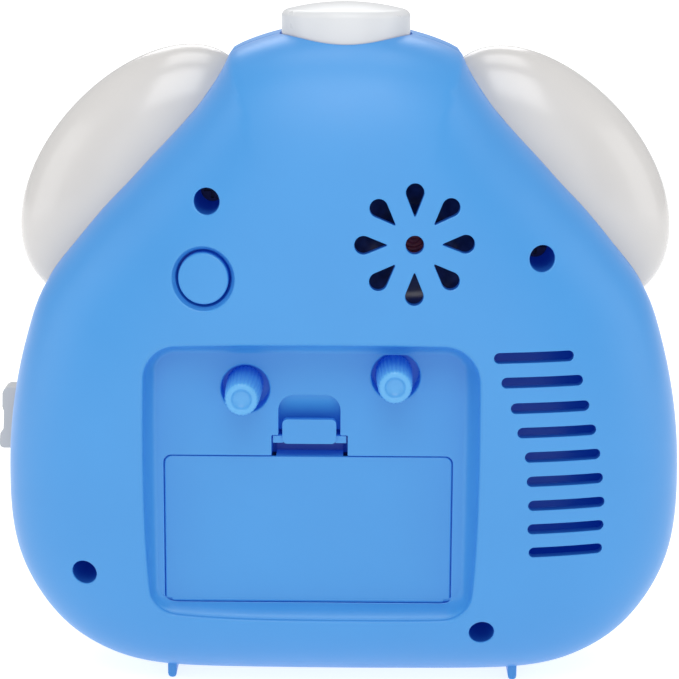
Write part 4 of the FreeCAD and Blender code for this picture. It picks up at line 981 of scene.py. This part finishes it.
def make_front():
    ms = Mesh()
    yl = [0.7, 1.3, 2.1, 3.0, 4.0, 5.5, 7.0, 8.5, 10.0, 11.4, 12.8, 14.2, 15.6, 17.0, 18.4, 19.8, 21.2, 22.6, 24.0, 25.3, 26.5, 27.6, 28.5]
    edge = [(2.2, 0.02), (0.9, 0.02), (0.30, 0.02), (0.30, 0.30), (0.05, 0.34)]
    p0, p1 = front_phi(SWZ0), front_phi(SWZ1)
    top = shell_skirt(ms, front_point, FRONT_CZ, -1, yl, edge, extra=(p0, p1),
                      skip=lambda c: c[0] > 50 and SWY0 < c[1] < SWY1 and SWZ0 < c[2] < SWZ1)
    p, n = circle(DIAL_X, DIAL_Z, 44.75, 160)
    B2 = p + n * 0.18
    i0 = ms.add(xyz(B2, front_face(B2[:, 0], B2[:, 1])), front_normal(B2[:, 0], B2[:, 1]))
    i1 = ms.add(xyz(p, front_face(p[:, 0], p[:, 1]) + 0.18))
    i2 = ms.add(xyz(p, -30.9))
    q, _ = circle(DIAL_X, DIAL_Z, 41.6, 160)
    i3 = ms.add(xyz(q, -30.9))
    ms.strip([i0, i1, i2, i3], True, flip=False)
    ms.fill(top, [i0], 2.1, front_face, front_normal, flip=True)
    # walls of the switch window
    for z, w in ((SWZ0, 1), (SWZ1, -1)):
        x = front_point(front_phi(z), 7.0)[0]
        quad(ms, (x + 0.3, SWY0, z), (x + 0.3, SWY1, z), (x - 2.4, SWY1, z), (x - 2.4, SWY0, z), (0, 0, w))
    for y, w in ((SWY0, 1), (SWY1, -1)):
        for k in range(8):
            za, zb = SWZ0 + (SWZ1 - SWZ0) * k / 8, SWZ0 + (SWZ1 - SWZ0) * (k + 1) / 8
            xa, xb = front_point(front_phi(za), -y)[0], front_point(front_phi(zb), -y)[0]
            quad(ms, (xa, y, za), (xb, y, zb), (xb - 2.4, y, zb), (xa - 2.4, y, za), (0, w, 0))
    for sx in (-1, 1):
        rib(ms, sx * 35.85, -19.0, -4.0)
    return ms.build("front_shell_skin", "case", "shell_blue", replaces=("front_shell",), angle=40)


DIAL_X, DIAL_Z = 0.0, 61.4
make_front()

# ------------------------------------------------------------------ ears
EAR_E = (43.66, 104.5)
EAR_AXES = (19.38, 12.9, 31.19)
EAR_T = math.radians(38.72)
EAR_Y = -11.0


def body_radius(x, y, z):
    """distance of the case surface from its own middle line, in the direction of the point, less the point's"""
    cz = FRONT_CZ if y < 0 else REAR_CZ
    phi = math.atan2(z - cz, x)
    q = front_point(phi, min(31.9, -y)) if y < 0 else skirt_point(phi, y)
    return math.hypot(q[0], q[1] - cz) - math.hypot(x, z - cz)


def make_ear(name, sx):
    ms = Mesh()
    N = np.array([math.cos(EAR_T), 0, math.sin(EAR_T)])
    L = np.array([-math.sin(EAR_T), 0, math.cos(EAR_T)])
    nu, nv = 110, 84
    C = np.array([EAR_E[0], EAR_Y, EAR_E[1]])
    a, b, c = EAR_AXES
    rings = []
    depth = {}
    for i in range(nu + 1):
        u = math.pi * i / nu
        rr = math.sin(u) * (1 - 0.05 * math.cos(u)) if 0 < i < nu else 1e-4
        row, nn = [], []
        for j in range(nv):
            v = TAU * j / nv
            p = C + L * (c * math.cos(u)) + N * (a * rr * math.cos(v)) + np.array([0, 1, 0]) * (b * rr * math.sin(v))
            row.append((p[0] * sx, p[1], p[2]))
        ids = ms.add(row)
        for k in ids:
            x, y, z = ms.v[k]
            depth[k] = body_radius(abs(x), y, z)
        rings.append(ids)
    for r0, r1 in zip(rings, rings[1:]):
        for j in range(nv):
            k = (j + 1) % nv
            q = (r0[j], r0[k], r1[k], r1[j])
            if min(depth[m] for m in q) > 1.3:
                continue
            ms.face(q if sx > 0 else q[::-1])
    return ms.build(name + "_skin", "case", "ear_white", replaces=(name,), angle=0)


make_ear("ear_left", 1)
make_ear("ear_right", -1)


# ------------------------------------------------------------------ turned pieces
def lathe_z(ms, prof, n=96, cx=0.0, cy=0.0, m=0):
    """(r, z) profile from the outside bottom up and in to the axis"""
    rings = []
    for r, z in prof:
        r = max(r, 1e-3)
        rings.append(ms.add([(cx + r * math.cos(TAU * k / n), cy + r * math.sin(TAU * k / n), z) for k in range(n)]))
    ms.strip(rings, True, flip=False, m=m)
    return rings


def lathe_y(ms, prof, cx, cz, n=72, m=0, flip=False):
    """(r, y) profile about an axis along Y, going up in Y from the outside and in to the axis"""
    rings = []
    for r, y in prof:
        r = max(r, 1e-3)
        rings.append(ms.add([(cx + r * math.cos(TAU * k / n), y, cz + r * math.sin(TAU * k / n)) for k in range(n)]))
    ms.strip(rings, True, flip=not flip, m=m)
    return rings


def make_top_button():
    ms = Mesh()
    R = TOP_R
    apex = 140.9
    prof = [(11.4, 127.3), (14.3, 127.3), (14.4, 127.4), (14.4, 128.2), (14.3, 128.3), (R, 128.3), (R, 130.0), (R, 133.0), (R, 135.5), (R, 137.7)]
    p0, p1, p2 = (R, 137.9), (R, 139.25), (11.2, apex - 0.0108 * 11.2 ** 2)
    for k in range(0, 10):
        t = k / 10
        prof.append(tuple((1 - t) ** 2 * u + 2 * t * (1 - t) * v + t * t * w for u, v, w in zip(p0, p1, p2)))
    for k in range(0, 19):
        r = 11.2 * (1 - k / 18)
        prof.append((r, apex - 0.0108 * r * r))
    lathe_z(ms, prof)
    inner = [(0, 135.6), (11.4, 135.6), (11.4, 127.3)]
    lathe_z(ms, inner)
    lathe_z(ms, [(2.4, 120.6), (2.4, 135.7)])
    i = ms.add([(2.4 * math.cos(TAU * k / 96), 2.4 * math.sin(TAU * k / 96), 120.6) for k in range(96)])
    ms.face(i[::-1])
    return ms.build("top_button_skin", "top_button", "button_white", replaces=("top_button",), angle=45)


make_top_button()


def make_knob(name, body, ax, az, phase):
    """fluted knob with a raised ring and a dished middle"""
    ms = Mesh()
    n, nf = 216, 27
    flute = [0.17 * (0.5 + 0.5 * math.cos(TAU * nf * k / n)) ** 1.6 for k in range(n)]
    rows = [(3.70, 17.0, 1.0), (3.72, 17.3, 1.0), (3.62, 22.0, 1.0), (3.50, 26.0, 1.0), (3.42, 28.6, 1.0), (3.38, 29.6, 1.0),
            (3.30, 30.1, 0.8), (3.16, 30.48, 0.45), (2.95, 30.70, 0.2), (2.70, 30.79, 0.05), (2.45, 30.80, 0.0), (2.22, 30.77, 0.0),
            (2.05, 30.66, 0.0), (1.93, 30.46, 0.0), (1.80, 30.22, 0.0), (1.5, 29.98, 0.0), (1.1, 29.80, 0.0), (0.6, 29.70, 0.0), (0.0, 29.66, 0.0)]
    rings = []
    for r, y, w in rows:
        rings.append(ms.add([(ax + max(1e-3, r - flute[k] * w) * math.cos(TAU * k / n + phase), y,
                              az + max(1e-3, r - flute[k] * w) * math.sin(TAU * k / n + phase)) for k in range(n)]))
    ms.strip(rings, True, flip=True)
    i = rings[0]
    ms.face(i)
    return ms.build(name + "_skin", body, "knob_blue", replaces=(name,), angle=50)


make_knob("time_knob", "time_setting", KNOB_AX[0], KNOB_AX[1], 0.1)
make_knob("alarm_knob", "alarm_setting", KNOB_BX[0], KNOB_BX[1], 0.25)


def slab(ms, pts, nr, y0, y1, f, fb=0.0, inner=None, k=4):
    """prism of an outline between y0 and y1, with rounded upper (and lower) edge"""
    rows = []
    base = [(fb, y0)] if fb else [(0.0, y0)]
    if fb:
        base.append((0.0, y0 + fb))
    for d, y in base:
        rows.append(xyz(pts - nr * d, y))
    for j in range(k + 1):
        a = math.pi / 2 * j / k
        rows.append(xyz(pts - nr * (f * (1 - math.cos(a))), y1 - f + f * math.sin(a)))
    ids = [ms.add(r) for r in rows]
    ms.strip(ids, True, flip=True)
    ms.face(ids[0])
    ms.face(ids[-1][::-1])
    return ids


def make_door():
    ms = Mesh()
    x0, x1, z0, z1 = -21.9, 35.95, 20.5, 51.3
    p, n = rrect_pts(x0, x1, z0, z1, 1.5, nc=8, ds=60)
    keep = p[:, 1] > 21.26
    q, m = list(p[keep]), list(n[keep])
    # lower edge at the hinge line, square
    i = [k for k in range(len(q)) if q[k][0] < 0]
    q = np.array(q)
    m = np.array(m)
    o = np.argsort(np.mod(np.arctan2(q[:, 1] - 36, q[:, 0] - 7) + math.pi / 2 + 0.9, TAU))
    q, m = q[o], m[o]
    dx = 1.5 - math.sqrt(1.5 ** 2 - 0.75 ** 2)
    lo = np.array([(x0 + dx, 21.25), (x1 - dx, 21.25)])
    ln = np.array([(0, -1.0), (0, -1.0)])
    P = np.concatenate([lo, q])
    N = np.concatenate([ln, m])
    P, N = order_ccw(P, N)
    slab(ms, P, N, 19.7, 21.2, 0.28, fb=0.75)
    # hinge barrel and pins
    for r, a, b in ((0.75, x0 + 1.3, x1 - 1.3), (0.48, x0 - 0.8, x1 + 0.8)):
        k = 24
        ra = ms.add([(a, 20.45 + r * math.cos(TAU * t / k), 21.25 + r * math.sin(TAU * t / k)) for t in range(k)])
        rb = ms.add([(b, 20.45 + r * math.cos(TAU * t / k), 21.25 + r * math.sin(TAU * t / k)) for t in range(k)])
        ms.strip([ra, rb], True, flip=True)
        ms.face(ra[::-1])
        ms.face(rb)
    bx(ms, 0.0, 13.5, 14.9, 19.8, 50.3, 51.2)
    bx(ms, x0 + 3, x1 - 3, 19.0, 19.8, 35.6, 36.6)
    return ms.build("battery_door_skin", "battery_door", "shell_blue", replaces=("battery_door",), angle=40)


def order_ccw(P, N):
    c = P.mean(0)
    o = np.argsort(np.arctan2(P[:, 1] - c[1], P[:, 0] - c[0]))
    return P[o], N[o]


def bx(ms, x0, x1, y0, y1, z0, z1):
    v = ms.add([(x, y, z) for x in (x0, x1) for y in (y0, y1) for z in (z0, z1)])
    for f in ((0, 1, 3, 2), (4, 6, 7, 5), (0, 4, 5, 1), (2, 3, 7, 6), (0, 2, 6, 4), (1, 5, 7, 3)):
        ms.face([v[k] for k in f])


make_door()


def make_rear_button():
    ms = Mesh()
    n = 72
    cx, cz = SNOOZE
    low = lambda x, z: dome(x, z) - 0.12
    rings = []
    for r, d in ((5.0, 4.4), (5.0, 1.2), (5.0, 0.62), (4.985, 0.45), (4.94, 0.28), (4.86, 0.14), (4.76, 0.05), (4.64, 0.01), (4.45, 0.0), (3.6, 0.0), (2.8, 0.0),
                 (2.0, 0.0), (1.2, 0.0), (0.5, 0.0), (0.001, 0.0)):
        p, _ = circle(cx, cz, r, n)
        # straight lower end, clear of the ledge when the button is in
        y = low(p[:, 0], p[:, 1]) - d if d < 4 else np.full(n, 22.4)
        rings.append(ms.add(xyz(p, y), dome_normal(p[:, 0], p[:, 1]) if d == 0.0 else None))
    ms.strip(rings, True, flip=True)
    return ms.build("rear_button_skin", "rear_button", "shell_blue", replaces=("rear_button",), angle=45)


make_rear_button()


def make_cone_cap():
    """ringed dust cap in the middle of the speaker cone"""
    ms = Mesh()
    prof = [(3.6, 15.2), (3.4, 15.7), (3.1, 15.5), (2.8, 15.95), (2.4, 15.75), (2.0, 16.15), (1.6, 15.95), (1.2, 16.3), (0.8, 16.1), (0.4, 16.35), (0.0, 16.35)]
    lathe_y(ms, prof, GRILLE[0], GRILLE[1], n=64)
    return ms.build("cone_cap", "case", "cone_paper", mats=[M["cap_brown"]], angle=30)


make_cone_cap()


# ------------------------------------------------------------------ dial marks
def make_dial():
    """tick marks, hour blocks and plain numerals lying on the dial plate"""
    ms = Mesh()
    y = -24.015
    for k in range(60):
        a = TAU * k / 60
        sa, ca = math.sin(a), math.cos(a)
        r0, r1, w = (29.3, 31.8, 0.42) if k % 5 == 0 else (30.5, 31.8, 0.13)
        pts = []
        for r, t in ((r0, -w), (r0, w), (r1, w), (r1, -w)):
            pts.append((DIAL_X + r * sa + t * ca, y, DIAL_Z + r * ca - t * sa))
        quad(ms, *pts, want=(0, -1, 0))
    n = 96
    for ra, rb in ((32.05, 32.25), (8.6, 8.75)):
        i0 = ms.add([(DIAL_X + ra * math.sin(TAU * k / n), y, DIAL_Z + ra * math.cos(TAU * k / n)) for k in range(n)])
        i1 = ms.add([(DIAL_X + rb * math.sin(TAU * k / n), y, DIAL_Z + rb * math.cos(TAU * k / n)) for k in range(n)])
        ms.strip([i0, i1], True, flip=False)
    ob = ms.build("dial_marks", "case", "hand_dark", angle=30)
    for h in range(1, 13):
        cu = bpy.data.curves.new("num", "FONT")
        cu.body = str(h)
        cu.size = 0.0074
        cu.align_x, cu.align_y = "CENTER", "CENTER"
        cu.resolution_u = 6
        cu.offset = 0.00012
        cu.extrude = 0.00004
        tmp = bpy.data.objects.new("num", cu)
        bpy.context.scene.collection.objects.link(tmp)
        bpy.context.view_layer.update()
        me = bpy.data.meshes.new_from_object(tmp.evaluated_get(bpy.context.evaluated_depsgraph_get()))
        bpy.data.objects.remove(tmp)
        bpy.data.curves.remove(cu)
        xs = [v.co.x for v in me.vertices]
        zs = [v.co.y for v in me.vertices]
        mx, mz = (min(xs) + max(xs)) / 2, (min(zs) + max(zs)) / 2
        a = TAU * h / 12
        R = 24.6
        cx, cz = DIAL_X + R * math.sin(a) + OFF[0], DIAL_Z + R * math.cos(a)
        for v in me.vertices:
            v.co = Vector(((cx * MM) + (v.co.x - mx), (y + OFF[1]) * MM - v.co.z, cz * MM + (v.co.y - mz)))
        ob = bpy.data.objects.new("numeral_%02d" % h, me)
        bpy.context.scene.collection.objects.link(ob)
        me.name = "numeral_%02d" % h
        me.materials.clear()
        me.materials.append(M["hand_dark"])
        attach(ob, "case")


make_dial()


# ------------------------------------------------------------------ stage, light and camera
me = bpy.data.meshes.new("floor")
ny = 12
me.from_pydata([(x, y, 0.0) for y in np.linspace(-9, 4, ny) for x in (-7.0, 7.0)], [],
               [(2 * k, 2 * k + 1, 2 * k + 3, 2 * k + 2) for k in range(ny - 1)])
floor = bpy.data.objects.new("floor", me)
bpy.context.scene.collection.objects.link(floor)
floor.data.materials.append(mat("floor_pale", (0.50, 0.50, 0.50), rough=0.8, vary=0.004, scale=3, rough_vary=0.02, spec=0.2, emit=(1, 1, 1), emit_k=0.80))

world = bpy.context.scene.world or bpy.data.worlds.new("world")
bpy.context.scene.world = world
world.use_nodes = True
world.node_tree.nodes["Background"].inputs["Color"].default_value = (1.0, 1.0, 1.0, 1)
world.node_tree.nodes["Background"].inputs["Strength"].default_value = 0.62


def area(name, loc, target, size, power, color=(1, 1, 1)):
    d = bpy.data.lights.new(name, "AREA")
    d.shape = "RECTANGLE"
    d.size, d.size_y = size
    d.energy = power
    d.color = color
    o = bpy.data.objects.new(name, d)
    bpy.context.scene.collection.objects.link(o)
    o.location = loc
    o.rotation_euler = (Vector(target) - Vector(loc)).to_track_quat("-Z", "Y").to_euler()
    return o


area("key_top", (0.0, 0.80, 1.00), (0, 0, 0.08), (0.80, 0.62), 5.4)
area("key_up", (0.0, 0.05, 1.25), (0, 0, 0.10), (0.7, 0.5), 3.0)
area("fill_front", (0.0, 1.35, 0.35), (0, 0, 0.07), (1.6, 0.9), 3.6)
area("side_left", (1.1, 0.25, 0.35), (0, 0, 0.07), (0.7, 0.9), 2.2)
area("side_right", (-1.1, 0.25, 0.35), (0, 0, 0.07), (0.7, 0.9), 2.2)
area("dial_side", (0.2, -2.6, 2.2), (0, 0, 0.07), (2.0, 1.6), 24)

E, AZ, ROLL = math.radians(11.8), math.radians(0.4), math.radians(0.3)
T = Vector(((0.8 + OFF[0]) * MM, (27.3 + OFF[1]) * MM, 76.7 * MM))
back = Vector((-math.sin(AZ) * math.cos(E), math.cos(AZ) * math.cos(E), math.sin(E)))
r0 = (-back).cross(Vector((0, 0, 1))).normalized()
u0 = r0.cross(-back)
right = r0 * math.cos(ROLL) + u0 * math.sin(ROLL)
up = -r0 * math.sin(ROLL) + u0 * math.cos(ROLL)
cd = bpy.data.cameras.new("camera")
cd.lens = 36.0 * 2100.0 / 679.0
cd.sensor_width = 36.0
cd.sensor_fit = "HORIZONTAL"
cd.clip_start, cd.clip_end = 0.01, 20
cam = bpy.data.objects.new("camera", cd)
bpy.context.scene.collection.objects.link(cam)
pos = T + back * 0.411
cam.matrix_world = Matrix(((right.x, up.x, back.x, pos.x), (right.y, up.y, back.y, pos.y), (right.z, up.z, back.z, pos.z), (0, 0, 0, 1)))
bpy.context.scene.camera = cam
bpy.context.scene.view_settings.view_transform = "Standard"
bpy.context.scene.view_settings.look = "None"
